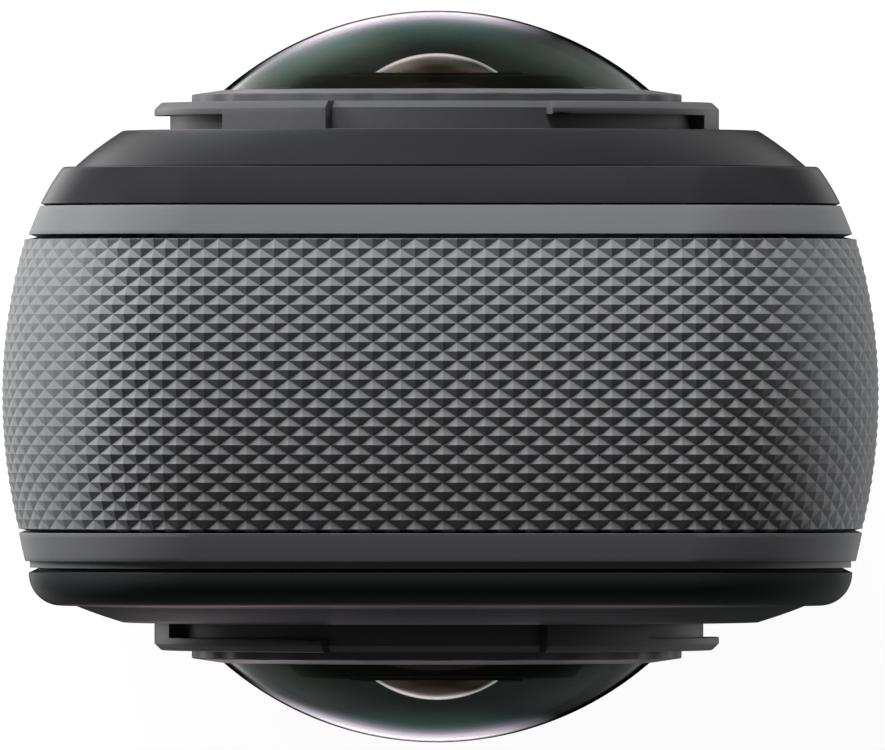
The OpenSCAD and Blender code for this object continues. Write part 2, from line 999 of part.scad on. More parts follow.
// Sprung button on the side, shaped to the barrel
module side_button(z) {
    intersection() {
        side_sweep(corner_low_z, corner_high_z)
            barrel_2d(-grip_front, grip_rear, skin_t);
        translate([0, barrel_y, z])
            along_x(flange_x0 + 0.3, half_w + 1)
                pill_2d(side_button_w, side_button_l);
    }
    translate([0, barrel_y, z]) {
        along_x(flange_x0, flange_x1)
            pill_2d(side_button_w + 1.2, side_button_l + 1.2);
        along_x(stem_end_x, flange_x0 + 0.3)
            circle(r = 1.2);
    }
}

module power_button() {
    color([0.2, 0.2, 0.22])
        side_button(power_z);
}

module quick_button() {
    color([0.2, 0.2, 0.22])
        side_button(quick_z);
}

module side_board() {
    color([0.05, 0.2, 0.12])
        difference() {
            union() {
                block(
                    [side_board_x - board_t, barrel_y - 5, door_z0 - 4],
                    [side_board_x, barrel_y + 5, shelf_z - 0.6]
                );
                for (z = [power_z, quick_z]) {
                    translate([0, barrel_y, z])
                        along_x(side_board_x - 0.1, side_switch_x)
                            square([3, 3], center = true);
                }
            }
            translate([0, barrel_y, port_z])
                along_x(side_board_x - 3, side_board_x + 3)
                    square([port_w + 2 * fit_gap, port_l + 2 * fit_gap], center = true);
        }
}

// Pocket of a battery latch, with room for its travel
module latch_pocket() {
    run = latch_l + latch_travel + 2 * run_gap;
    along_x(-half_w - 1, -latch_base_x1)
        rounded_2d(latch_w + 2 * run_gap, run, 0.6);
    along_x(-latch_base_x1 - 0.1, -latch_base_x0 + 0.1)
        square([latch_w + 1.6 + 2 * run_gap, run + 1.6], center = true);
}

module battery_face() {
    color([0.3, 0.31, 0.33])
        difference() {
            intersection() {
                mirror([1, 0, 0])
                    side_sweep(corner_low_z, corner_high_z)
                        barrel_2d(-grip_front, grip_rear, face_t);
                translate([0, barrel_y, battery_z])
                    along_x(-half_w - 1, -face_back_x)
                        rounded_2d(battery_w, battery_h, face_r);
            }
            for (side = [-1, 1]) {
                translate([0, barrel_y, battery_z + side * latch_z])
                    latch_pocket();
            }
        }
}

module battery_case() {
    color([0.08, 0.08, 0.09])
        block(
            [-face_back_x, barrel_y - case_w / 2, battery_z - case_h / 2],
            [case_end_x, barrel_y + case_w / 2, battery_z + case_h / 2]
        );
}

module battery_seal() {
    color([0.7, 0.35, 0.1])
        translate([0, barrel_y, battery_z])
            along_x(-chassis_x, -chassis_x + 1.2)
                difference() {
                    rounded_2d(case_w + 0.8, case_h + 1, 0.5);
                    square([case_w, case_h], center = true);
                }
}

// Latch slider with finger grooves, drawn at its locked end
module latch(side) {
    translate([0, barrel_y, battery_z + side * (latch_z + latch_travel / 2)])
        difference() {
            union() {
                along_x(-latch_top_x, -latch_base_x1 + 0.2)
                    rounded_2d(latch_w, latch_l, 0.5);
                along_x(-latch_base_x1, -latch_base_x0)
                    square([latch_w + 1.6, latch_l + 1.6], center = true);
            }
            for (k = [-1 : 1]) {
                translate([-latch_top_x, 0, 1.6 * k])
                    cube([0.6, latch_w + 1, 0.7], center = true);
            }
        }
}

module upper_latch() {
    color([0.75, 0.35, 0.08])
        latch(1);
}

module lower_latch() {
    color([0.75, 0.35, 0.08])
        latch(-1);
}

module battery_contacts() {
    color([0.85, 0.65, 0.25])
        for (k = [-2 : 2]) {
            translate([tray_end_x - 0.4, barrel_y, battery_z + 3 * k])
                rotate([0, 90, 0])
                    cylinder(r = 0.6, h = 0.4);
        }
}

module usb_door() {
    color([0.3, 0.31, 0.33])
        difference() {
            intersection() {
                side_sweep(corner_low_z, corner_high_z)
                    barrel_2d(-grip_front, grip_rear, skin_t);
                union() {
                    block(
                        [door_back_x, barrel_y - door_w / 2, hinge_z],
                        [half_w + 1, barrel_y + door_w / 2, door_z0 + door_h]
                    );
                    translate([hinge_x, barrel_y, hinge_z])
                        rotate([90, 0, 0])
                            cylinder(r = door_knuckle_r, h = door_w, center = true);
                }
            }
            translate([hinge_x, barrel_y, hinge_z])
                rotate([90, 0, 0])
                    cylinder(r = 0.56, h = door_w + 2, center = true);
        }
}

module usb_door_seal() {
    color([0.7, 0.35, 0.1])
        translate([0, barrel_y, port_z])
            along_x(port_x1 - 0.05, door_back_x)
                difference() {
                    rounded_2d(port_w + 3, port_l + 1.6, 1.2);
                    rounded_2d(port_w + 1.2, port_l + 0.6, 0.8);
                }
}

module usb_hinge_pin() {
    color([0.7, 0.7, 0.72])
        translate([hinge_x, barrel_y, hinge_z])
            rotate([90, 0, 0])
                cylinder(r = 0.5, h = door_w + 4, center = true);
}

module usb_port() {
    color([0.65, 0.65, 0.68])
        translate([0, barrel_y, port_z]) {
            difference() {
                along_x(port_x1 - 6.4, port_x1)
                    rounded_2d(port_w, port_l, 1.2);
                along_x(port_x1 - 5.2, port_x1 + 1)
                    rounded_2d(port_w - 0.7, port_l - 0.7, 1);
            }
            along_x(port_x1 - 5.4, port_x1 - 0.9)
                square([0.7, port_l - 2.3], center = true);
        }
}

// Screws at the corners of the main board, along Y through the tray's rear wall
module at_board_screws() {
    for (x = [3.6 - bay_x, tray_end_x - 2], z = [-1, 1]) {
        translate([x, tray_rear_y, battery_z + z * (case_h / 2 - 3)])
            rotate([-90, 0, 0])
                children();
    }
}

module main_board() {
    color([0.05, 0.22, 0.13])
        difference() {
            union() {
                block(
                    [1.6 - bay_x, tray_rear_y, battery_z - tray_half_z],
                    [bay_x - 4, tray_rear_y + board_t, battery_z + tray_half_z]
                );
                translate([0, tray_rear_y, battery_z]) {
                    block([11.6 - bay_x, 0.5, 2], [bay_x - 13.6, board_t + 1, 14]);
                    block([6.6 - bay_x, 0.5, -14], [-4, board_t + 0.9, -6]);
                    block([4, 0.5, -16], [bay_x - 6.6, board_t + 0.8, -4]);
                }
            }
            at_board_screws()
                cylinder(r = 0.75, h = 4, center = true);
        }
}

module board_screws() {
    color([0.65, 0.65, 0.68])
        at_board_screws() {
            translate([0, 0, -0.5])
                cylinder(r = 0.7, h = board_t + 0.7);
            translate([0, 0, board_t])
                cylinder(r = 1.4, h = 0.8);
        }
}

module card_slot() {
    color([0.7, 0.7, 0.72])
        difference() {
            block(
                [card_x, tray_rear_y - 1.6, battery_z + 3],
                [card_x + card_w, tray_rear_y, battery_z + 18]
            );
            block(
                [card_x + 0.5, tray_rear_y - 1.3, battery_z + 2],
                [card_x + card_w - 0.5, tray_rear_y - 0.3, battery_z + 17.5]
            );
        }
}

module memory_card() {
    color([0.06, 0.06, 0.07])
        block(
            [card_x + 0.6, tray_rear_y - 1.2, battery_z + 3.4],
            [card_x + card_w - 0.6, tray_rear_y - 0.4, battery_z + 17.3]
        );
}

module speaker() {
    color([0.15, 0.15, 0.16])
        translate([speaker_x, 0, speaker_z])
            along_y(rear_under_y - 3, rear_under_y - 0.3)
                circle(r = 5.4);
}

module speaker_mesh() {
    color([0.3, 0.3, 0.32])
        translate([speaker_x, 0, speaker_z])
            along_y(rear_under_y - 0.3, rear_under_y)
                circle(r = 4.8);
}

module microphones() {
    color([0.6, 0.6, 0.62])
        for (side = [-1, 1]) {
            translate([side * mic_x, 0, mic_z]) {
                along_y(front_under_y, front_under_y + 1)
                    square([3, 2.2], center = true);
                along_y(rear_under_y - 1, rear_under_y)
                    square([3, 2.2], center = true);
            }
        }
}

module front_light() {
    color([0.8, 0.85, 0.85])
        translate([0, 0, mic_z])
            along_y(front_face_y + 0.05, front_under_y + 0.4)
                rotate([0, 0, 90])
                    pill_2d(1, 3);
}

module rear_light() {
    color([0.8, 0.85, 0.85])
        translate([0, 0, mic_z])
            along_y(rear_under_y - 0.4, rear_face_y - 0.05)
                rotate([0, 0, 90])
                    pill_2d(1, 3);
}

module tripod_socket() {
    color([0.7, 0.7, 0.72])
        difference() {
            union() {
                translate([0, 0, 0.3])
                    cylinder(r = insert_r, h = 9.7);
                translate([0, 0, 0.3])
                    cylinder(r = insert_r + 1.2, h = 1);
            }
            translate([0, 0, -0.5])
                cylinder(r = thread_r, h = thread_depth + 0.8);
        }
}

chassis();
grip_band();
base_cap();
front_rim();
rear_rim();
front_gasket();
front_cover();
rear_cover();
front_lens_mount();
rear_lens_mount();
front_retainer();
rear_retainer();
front_dome();
rear_dome();
front_dome_seal();
rear_dome_seal();
front_baffle();
rear_baffle();
front_second_lens();
rear_second_lens();
front_barrel();
rear_barrel();
front_relay_lens();
rear_relay_lens();
front_sensor();
rear_sensor();
front_sensor_board();
rear_sensor_board();
heat_spreader();
thermal_pads();
lens_screws();
screen_glass();
display_panel();
shutter_button();
mode_button();
button_board();
power_button();
quick_button();
side_board();
battery_face();
battery_case();
battery_seal();
upper_latch();
lower_latch();
battery_contacts();
usb_door();
usb_door_seal();
usb_hinge_pin();
usb_port();
main_board();
board_screws();
card_slot();
memory_card();
speaker();
speaker_mesh();
microphones();
front_light();
rear_light();
tripod_socket();
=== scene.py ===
"""Looks of an upright 360 degree camera with a dome lens on each broad face."""
import json
import logging
import math
from dataclasses import dataclass, field
from enum import Enum
from typing import Callable, Iterable, Optional, Sequence

import bmesh
import bpy
from bmesh.types import BMEdge, BMFace, BMVert
from mathutils import Matrix, Vector


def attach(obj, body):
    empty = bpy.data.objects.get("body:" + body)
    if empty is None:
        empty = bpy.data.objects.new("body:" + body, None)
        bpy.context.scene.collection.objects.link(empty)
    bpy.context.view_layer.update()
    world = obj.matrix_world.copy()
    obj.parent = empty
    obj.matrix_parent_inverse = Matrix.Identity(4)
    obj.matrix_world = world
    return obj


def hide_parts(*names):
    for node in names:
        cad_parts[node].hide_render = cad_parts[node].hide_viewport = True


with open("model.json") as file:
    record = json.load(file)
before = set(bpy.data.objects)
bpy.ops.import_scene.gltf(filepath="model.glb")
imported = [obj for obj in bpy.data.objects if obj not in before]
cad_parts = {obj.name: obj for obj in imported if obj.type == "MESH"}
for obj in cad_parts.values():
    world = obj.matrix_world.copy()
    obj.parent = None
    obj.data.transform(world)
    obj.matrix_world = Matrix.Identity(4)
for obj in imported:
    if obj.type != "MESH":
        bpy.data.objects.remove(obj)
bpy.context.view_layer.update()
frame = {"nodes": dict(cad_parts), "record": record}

log = logging.getLogger("camera")

Point = tuple[float, float]
Colour = tuple[float, float, float]

MM = 0.001
FIT_GAP = 0.05
RUN_GAP = 0.3
FULL_ROUND = 9.0
X, Y, Z = Vector((1, 0, 0)), Vector((0, 1, 0)), Vector((0, 0, 1))


class Side(Enum):
    """The two broad faces, with the sign of their outward direction along Y."""

    FRONT = -1
    REAR = 1

    @property
    def word(self) -> str:
        """Name of the face as it starts a node's name."""
        return self.name.lower()


class Shading(Enum):
    """How the faces of a piece meet, with the angle past which an edge is crisp."""

    FACETED = 0.0
    CRISP = 20.0
    SOFT = 38.0


class Shape:
    """A mesh in millimetres that bmesh operators model step by step."""

    def __init__(self) -> None:
        """Start with an empty mesh."""
        self.bm = bmesh.new()

    def chain(self, points: Iterable[Sequence[float]], closed: bool = False) -> list[BMEdge]:
        """Lay a chain of edges through points.

        Args:
            points: Places of the chain's vertices.
            closed: Whether the last vertex joins the first.

        Returns:
            The edges in order.
        """
        verts = [self.bm.verts.new(p) for p in points]
        pairs = list(zip(verts, verts[1:]))
        if closed:
            pairs.append((verts[-1], verts[0]))
        return [self.bm.edges.new(pair) for pair in pairs]

    def pull(self, edges: list[BMEdge], vec: Vector) -> list[BMEdge]:
        """Extrude edges along a straight line.

        Args:
            edges: Edges to extrude.
            vec: How far and where to.

        Returns:
            The edges at the far end.
        """
        made = bmesh.ops.extrude_edge_only(self.bm, edges=edges)["geom"]
        verts = {g for g in made if isinstance(g, BMVert)}
        bmesh.ops.translate(self.bm, verts=list(verts), vec=vec)
        return [g for g in made if isinstance(g, BMEdge) and set(g.verts) <= verts]

    def swing(self, edges: list[BMEdge], centre: Vector, axis: Vector, turn: float,
              steps: int) -> list[BMEdge]:
        """Extrude edges around an axis.

        Args:
            edges: Edges to extrude.
            centre: A point on the axis.
            axis: Direction of the axis.
            turn: Angle in degrees.
            steps: Count of segments.

        Returns:
            The edges at the far end.
        """
        verts = list({v for e in edges for v in e.verts})
        made = bmesh.ops.spin(self.bm, geom=verts + edges, cent=centre, axis=axis,
                              angle=math.radians(turn), steps=steps)["geom_last"]
        return [g for g in made if isinstance(g, BMEdge)]

    def turned(self, profile: Iterable[Point], steps: int, closed: bool = True) -> None:
        """Spin a profile of (radius, height) fully around Z.

        Args:
            profile: Points of the profile.
            steps: Count of segments around.
            closed: Whether the profile is a closed loop.
        """
        edges = self.chain([(r, 0, z) for r, z in profile], closed)
        verts = list({v for e in edges for v in e.verts})
        bmesh.ops.spin(self.bm, geom=verts + edges, cent=(0, 0, 0), axis=Z, angle=math.tau,
                       steps=steps, use_merge=True)
        self.weld()

    def rounded_face(self, w: float, h: float, r: float, segments: int = 8) -> BMFace:
        """Make a flat face with round corners about the origin, in X and Y.

        Args:
            w: Width along X.
            h: Height along Y.
            r: Corner radius.
            segments: Count of segments in each corner.

        Returns:
            The face.
        """
        verts = bmesh.ops.create_grid(self.bm, x_segments=1, y_segments=1, size=0.5)["verts"]
        bmesh.ops.scale(self.bm, vec=(w, h, 1), verts=verts)
        made = bmesh.ops.bevel(self.bm, geom=verts, offset=min(r, 0.4995 * w, 0.4995 * h),
                               segments=segments, profile=0.5, affect="VERTICES", material=-1)
        verts = made["verts"]
        return next(f for f in self.bm.faces if set(f.verts) == set(verts))

    def rounded_loop(self, w: float, h: float, r: float, place: Matrix,
                     segments: int = 8) -> list[BMEdge]:
        """Make a loop of edges with round corners.

        Args:
            w: Width along the loop's own X.
            h: Height along its own Y.
            r: Corner radius.
            place: Matrix that puts it in place.
            segments: Count of segments in each corner.

        Returns:
            The loop's edges.
        """
        face = self.rounded_face(w, h, r, segments)
        verts, edges = list(face.verts), list(face.edges)
        bmesh.ops.delete(self.bm, geom=[face], context="FACES_ONLY")
        bmesh.ops.transform(self.bm, matrix=place, verts=verts)
        return edges

    def slab(self, w: float, h: float, r: float, thick: float, segments: int = 8) -> list[BMVert]:
        """Make a closed slab with round corners whose top lies on z = 0.

        Args:
            w: Width along X.
            h: Height along Y.
            r: Corner radius.
            thick: Thickness, downwards.
            segments: Count of segments in each corner.

        Returns:
            The slab's vertices.
        """
        face = self.rounded_face(w, h, r, segments)
        top = list(face.verts)
        made = bmesh.ops.extrude_face_region(self.bm, geom=[face])["geom"]
        low = [g for g in made if isinstance(g, BMVert)]
        bmesh.ops.translate(self.bm, verts=low, vec=(0, 0, -thick))
        bmesh.ops.recalc_face_normals(self.bm, faces=self.bm.faces)
        return top + low

    def bridge(self, first: list[BMEdge], second: list[BMEdge]) -> None:
        """Join two loops of edges with faces."""
        bmesh.ops.bridge_loops(self.bm, edges=first + second)

    def skin(self, loops: Sequence[list[BMEdge]]) -> None:
        """Join each loop of a row with the next."""
        for first, second in zip(loops, loops[1:]):
            self.bridge(first, second)

    @staticmethod
    def whole(faces: list[BMFace]) -> list:
        """List faces with their edges and vertices."""
        return faces + list({e for f in faces for e in f.edges}) + list({v for f in faces for v in f.verts})

    def fill(self, axis: int, value: float) -> None:
        """Fill the open edges that lie on one plane, round the holes in it.

        Args:
            axis: Index of the axis that the plane stands across.
            value: Where the plane stands on that axis.
        """
        rim = [e for e in self.bm.edges if e.is_boundary
               and all(abs(v.co[axis] - value) < 1e-3 for v in e.verts)]
        bmesh.ops.triangle_fill(self.bm, edges=rim, use_beauty=True, use_dissolve=False)

    def cut(self, point: Sequence[float], normal: Sequence[float], clear: bool = True,
            faces: Optional[Iterable[BMFace]] = None) -> list:
        """Cut the mesh, or some of its faces, with a plane.

        Args:
            point: A point on the plane.
            normal: Direction of the side that is cleared.
            clear: Whether that side is removed.
            faces: Faces to cut, or all of them.

        Returns:
            The cut geometry.
        """
        geom = self.whole(list(self.bm.faces if faces is None else faces))
        return bmesh.ops.bisect_plane(self.bm, geom=geom, dist=1e-5, plane_co=point,
                                      plane_no=normal, clear_outer=clear)["geom"]

    def soften(self, pick: Callable[[BMEdge], bool], offset: float, segments: int = 2,
               angle: float = 25.0) -> None:
        """Bevel the crisp edges that a test picks.

        Args:
            pick: Test of an edge.
            offset: Width of the bevel on each side.
            segments: Count of segments across the bevel.
            angle: Least angle in degrees between the edge's faces.
        """
        least = math.radians(angle)
        edges = [e for e in self.bm.edges if e.is_manifold and e.calc_face_angle(0) > least and pick(e)]
        bmesh.ops.bevel(self.bm, geom=edges, offset=offset, segments=segments, profile=0.5,
                        affect="EDGES", material=-1, clamp_overlap=True)

    def weld(self) -> None:
        """Merge doubles and point the faces outwards."""
        bmesh.ops.remove_doubles(self.bm, verts=self.bm.verts, dist=2e-3)
        bmesh.ops.recalc_face_normals(self.bm, faces=self.bm.faces)

    def draw(self, faces: list[BMFace]) -> list[BMVert]:
        """Extrude faces out of the surface that they belong to.

        Args:
            faces: Faces to extrude.

        Returns:
            The vertices of the drawn faces, still in their old place.
        """
        made = bmesh.ops.extrude_face_region(self.bm, geom=self.whole(faces))["geom"]
        return [g for g in made if isinstance(g, BMVert)]

    def outward(self) -> None:
        """Point each closed shell of the mesh outwards."""
        bmesh.ops.recalc_face_normals(self.bm, faces=self.bm.faces)
        left = set(self.bm.faces)
        while left:
            shell = [left.pop()]
            for f in shell:
                near = {n for e in f.edges for n in e.link_faces} & left
                left -= near
                shell.extend(near)
            volume = sum(f.calc_center_median().dot(f.normal) * f.calc_area() for f in shell)
            if volume < 0:
                bmesh.ops.reverse_faces(self.bm, faces=shell)

    def bend(self, rule: Callable[[Vector], Vector]) -> None:
        """Move every vertex by a rule."""
        for v in self.bm.verts:
            v.co = rule(v.co)

    def place(self, matrix: Matrix) -> None:
        """Put the whole mesh in place."""
        bmesh.ops.transform(self.bm, matrix=matrix, verts=self.bm.verts)

    def to_object(self, name: str, shading: Shading = Shading.SOFT) -> bpy.types.Object:
        """Make the finished piece, in metres.

        Args:
            name: Name of the piece.
            shading: How its faces meet.

        Returns:
            The piece at the origin, with its place in its mesh.
        """
        self.bm.normal_update()
        self.outward()
        bmesh.ops.scale(self.bm, vec=(MM, MM, MM), verts=self.bm.verts)
        mesh = bpy.data.meshes.new(name)
        self.bm.to_mesh(mesh)
        self.bm.free()
        obj = bpy.data.objects.new(name, mesh)
        bpy.context.scene.collection.objects.link(obj)
        if shading is not Shading.FACETED:
            mesh.shade_smooth()
            mesh.set_sharp_from_angle(angle=math.radians(shading.value))
            even = obj.modifiers.new("even_normals", "WEIGHTED_NORMAL")
            even.keep_sharp = True
        return obj


@dataclass(frozen=True)
class Outline:
    """Outline of the body seen from the front, and the barrel section of its sides."""

    half_w: float = 23.0
    height: float = 124.5
    low: float = -0.9
    corner: float = 10.0
    barrel_r: float = 29.0
    barrel_y: float = -1.0

    @property
    def flat(self) -> float:
        """Half the straight length of the top."""
        return self.half_w - self.corner

    def crown(self, y: float) -> float:
        """Distance of the barrel outside its crown at a depth, so zero or less."""
        return math.sqrt(self.barrel_r ** 2 - (y - self.barrel_y) ** 2) - self.barrel_r

    def along(self, s: float) -> tuple[Point, Point]:
        """Follow the crown over the top end.

        Args:
            s: Way along the crown from the middle of the top, positive towards +X.

        Returns:
            The place on the crown and its outward normal, both in (x, z).
        """
        way, sign = abs(s), math.copysign(1, s)
        bend = self.corner * math.pi / 2
        if way <= self.flat:
            return (s, self.height), (0.0, 1.0)
        if way <= self.flat + bend:
            a = (way - self.flat) / self.corner
            out = (sign * math.sin(a), math.cos(a))
            return (sign * self.flat + self.corner * out[0],
                    self.height - self.corner + self.corner * out[1]), out
        drop = way - self.flat - bend
        return (sign * self.half_w, self.height - self.corner - drop), (sign, 0.0)

    def sweep(self, shape: Shape, profile: Sequence[Point], closed: bool, steps: int = 24) -> None:
        """Sweep a profile of (distance outside the crown, depth) around the whole outline.

        Args:
            shape: Mesh to add to.
            profile: Points of the profile.
            closed: Whether the profile is a closed loop.
            steps: Count of segments in each corner.
        """
        top, foot = self.height - self.corner, self.low + self.corner
        edges = shape.chain([(0, y, self.height + u) for u, y in profile], closed)
        runs = ((X * self.flat, (self.flat, 0, top)), (-Z * (top - foot), (self.flat, 0, foot)),
                (-X * 2 * self.flat, (-self.flat, 0, foot)), (Z * (top - foot), (-self.flat, 0, top)))
        for run, centre in runs:
            edges = shape.swing(shape.pull(edges, run), Vector(centre), Y, 90, steps)
        shape.pull(edges, X * self.flat)
        shape.weld()


OUTLINE = Outline()


class Tree:
    """Short hand for making and linking shader nodes."""

    def __init__(self, tree: bpy.types.NodeTree) -> None:
        """Work on a node tree."""
        self.tree = tree

    def add(self, kind: str, **settings: object) -> bpy.types.Node:
        """Add a node.

        Args:
            kind: Type of the node.
            settings: Properties of the node.

        Returns:
            The node.
        """
        node = self.tree.nodes.new(kind)
        for key, value in settings.items():
            setattr(node, key, value)
        return node

    def link(self, source: bpy.types.NodeSocket, target: bpy.types.NodeSocket) -> None:
        """Link two sockets."""
        self.tree.links.new(source, target)

    def noise(self, vector: bpy.types.NodeSocket, scale: object, detail: float = 3.0) -> bpy.types.NodeSocket:
        """Add a noise texture.

        Args:
            vector: Coordinates to read.
            scale: Scale as a number or a socket.
            detail: Detail of the noise.

        Returns:
            The noise's value socket.
        """
        node = self.add("ShaderNodeTexNoise")
        self.link(vector, node.inputs["Vector"])
        node.inputs["Detail"].default_value = detail
        self.put(scale, node.inputs["Scale"])
        return node.outputs["Fac"]

    def math(self, operation: str, a: object, b: object = 0.0) -> bpy.types.NodeSocket:
        """Add a math node.

        Args:
            operation: Name of the operation.
            a: First number or socket.
            b: Second number or socket.

        Returns:
            The result's socket.
        """
        node = self.add("ShaderNodeMath", operation=operation)
        self.put(a, node.inputs[0])
        self.put(b, node.inputs[1])
        return node.outputs[0]

    def times(self, a: object, b: object) -> bpy.types.NodeSocket:
        """Multiply two numbers or sockets."""
        return self.math("MULTIPLY", a, b)

    def gloss(self, path: bpy.types.Node) -> bpy.types.NodeSocket:
        """Tell from a Light Path node whether a ray comes off gloss or through glass."""
        return self.math("MAXIMUM", path.outputs["Is Glossy Ray"], path.outputs["Is Transmission Ray"])

    def ramp(self, value: bpy.types.NodeSocket, given: Point, made: Point) -> bpy.types.NodeSocket:
        """Map a value smoothly from one range to another.

        Args:
            value: Socket of the value.
            given: Range that it comes from.
            made: Range that it goes to.

        Returns:
            The result's socket.
        """
        node = self.add("ShaderNodeMapRange", interpolation_type="SMOOTHSTEP")
        self.link(value, node.inputs["Value"])
        for key, number in zip(("From Min", "From Max", "To Min", "To Max"), given + made):
            node.inputs[key].default_value = number
        return node.outputs[0]

    def scaled(self, colour: object, factor: object) -> bpy.types.NodeSocket:
        """Multiply a colour by a value.

        Args:
            colour: Colour as a triple or a socket.
            factor: Factor as a number or a socket.

        Returns:
            The result's socket.
        """
        node = self.add("ShaderNodeVectorMath", operation="SCALE")
        self.put(colour, node.inputs[0])
        self.put(factor, node.inputs["Scale"])
        return node.outputs[0]

    def put(self, value: object, target: bpy.types.NodeSocket) -> None:
        """Link a socket or set a plain value."""
        if isinstance(value, bpy.types.NodeSocket):
            self.link(value, target)
        elif isinstance(value, tuple) and len(target.default_value) == 4:
            target.default_value = (*value, 1.0)
        else:
            target.default_value = value


class Effects:
    """Shader node groups that more than one finish uses."""

    INPUTS = {"Vector": "Vector", "Color": "Color", "Spread": "Float", "Scale": "Float",
              "Roughness": "Float", "Rough Spread": "Float"}
    OUTPUTS = {"Color": "Color", "Roughness": "Float", "Height": "Float"}

    @classmethod
    def group(cls, name: str, build: Callable[[Tree, bpy.types.Node], tuple]) -> bpy.types.NodeTree:
        """Make a group that shades a colour and a roughness, or find it if it is there already.

        Args:
            name: Name of the group.
            build: Makes the sockets that shade the colour, shift the roughness and give the height.

        Returns:
            The group.
        """
        found = bpy.data.node_groups.get(name)
        if found:
            return found
        made = bpy.data.node_groups.new(name, "ShaderNodeTree")
        for way, sockets in (("INPUT", cls.INPUTS), ("OUTPUT", cls.OUTPUTS)):
            for key, kind in sockets.items():
                made.interface.new_socket(key, in_out=way, socket_type=f"NodeSocket{kind}")
        tree = Tree(made)
        source, sink = tree.add("NodeGroupInput"), tree.add("NodeGroupOutput")
        given = source.outputs
        tint, rough, height = build(tree, source)
        shade = tree.math("ADD", tree.times(tint, given["Spread"]), 1.0)
        rough = tree.math("ADD", given["Roughness"], tree.times(rough, given["Rough Spread"]))
        for key, socket in (("Color", tree.scaled(given["Color"], shade)), ("Roughness", rough),
                            ("Height", height)):
            tree.link(socket, sink.inputs[key])
        return made

    @staticmethod
    def grain(tree: Tree, source: bpy.types.Node) -> tuple:
        """Fine moulded grain with a faint cloudiness.

        Args:
            tree: The group's tree.
            source: Its input node.

        Returns:
            The sockets that shade the colour, shift the roughness and give the height.
        """
        vector, scale = source.outputs["Vector"], source.outputs["Scale"]
        fine = tree.noise(vector, scale)
        cloud = tree.noise(vector, tree.times(scale, 0.05), 2.0)
        both = tree.math("SUBTRACT", tree.math("ADD", fine, cloud), 1.0)
        return both, tree.math("SUBTRACT", cloud, 0.5), fine

    @staticmethod
    def streaks(tree: Tree, source: bpy.types.Node) -> tuple:
        """Fine streaks of turned or brushed metal.

        Args:
            tree: The group's tree.
            source: Its input node.

        Returns:
            The sockets that shade the colour, shift the roughness and give the height.
        """
        squeeze = tree.add("ShaderNodeMapping", vector_type="POINT")
        squeeze.inputs["Scale"].default_value = (0.04, 1.0, 0.04)
        tree.link(source.outputs["Vector"], squeeze.inputs["Vector"])
        line = tree.noise(squeeze.outputs[0], source.outputs["Scale"], 2.0)
        shift = tree.math("SUBTRACT", line, 0.5)
        return shift, shift, line


class Pattern(Enum):
    """Which shared effect a finish shows, with the name of its node group."""

    GRAIN = "moulded_grain"
    STREAKS = "turning_streaks"

    def group(self) -> bpy.types.NodeTree:
        """The node group of the effect."""
        return Effects.group(self.value, Effects.grain if self is Pattern.GRAIN else Effects.streaks)


@dataclass(frozen=True)
class Finish:
    """A solid finish: moulded plastic, rubber, coated or bare metal."""

    name: str
    colour: Colour
    roughness: float
    metallic: float = 0.0
    spread: float = 0.12
    scale: float = 2600.0
    rough_spread: float = 0.1
    bump: float = 0.08
    specular: float = 0.5
    coat: float = 0.0
    pattern: Pattern = Pattern.GRAIN

    def surface(self, tree: Tree, shader: bpy.types.Node) -> bpy.types.NodeSocket:
        """Feed the shared effect into a shader.

        Args:
            tree: The material's tree.
            shader: Its Principled shader.

        Returns:
            The object coordinates.
        """
        vector = tree.add("ShaderNodeTexCoord").outputs["Object"]
        effect = tree.add("ShaderNodeGroup", node_tree=self.pattern.group())
        tree.link(vector, effect.inputs["Vector"])
        tree.put(self.colour, effect.inputs["Color"])
        for key, value in (("Spread", self.spread), ("Scale", self.scale),
                           ("Roughness", self.roughness), ("Rough Spread", self.rough_spread)):
            effect.inputs[key].default_value = value
        tree.link(effect.outputs["Color"], shader.inputs["Base Color"])
        tree.link(effect.outputs["Roughness"], shader.inputs["Roughness"])
        bump = tree.add("ShaderNodeBump")
        bump.inputs["Strength"].default_value = self.bump
        bump.inputs["Distance"].default_value = 0.05 * MM
        tree.link(effect.outputs["Height"], bump.inputs["Height"])
        tree.link(bump.outputs["Normal"], shader.inputs["Normal"])
        return vector

    def make(self) -> bpy.types.Material:
        """Make the material, or find it if it is there already."""
        name = f"{self.name}_finish"
        found = bpy.data.materials.get(name)
        if found:
            return found
        material = bpy.data.materials.new(name)
        material.use_nodes = True
        tree = Tree(material.node_tree)
        shader = material.node_tree.nodes["Principled BSDF"]
        shader.inputs["Metallic"].default_value = self.metallic
        shader.inputs["Specular IOR Level"].default_value = self.specular
        shader.inputs["Coat Weight"].default_value = self.coat
        shader.inputs["Coat Roughness"].default_value = 0.08
        self.dress(tree, shader)
        return material

    def dress(self, tree: Tree, shader: bpy.types.Node) -> None:
        """Link what the shader shows."""
        self.surface(tree, shader)


@dataclass(frozen=True)
class Glass(Finish):
    """A clear or tinted glass with a thin coating."""

    ior: float = 1.52
    film: float = 0.0

    def dress(self, tree: Tree, shader: bpy.types.Node) -> None:
        """Link the glass's faint unevenness and set its constants."""
        self.surface(tree, shader)
        shader.inputs["Transmission Weight"].default_value = 1.0
        shader.inputs["IOR"].default_value = self.ior
        shader.inputs["Thin Film Thickness"].default_value = self.film
        shader.inputs["Thin Film IOR"].default_value = 1.38


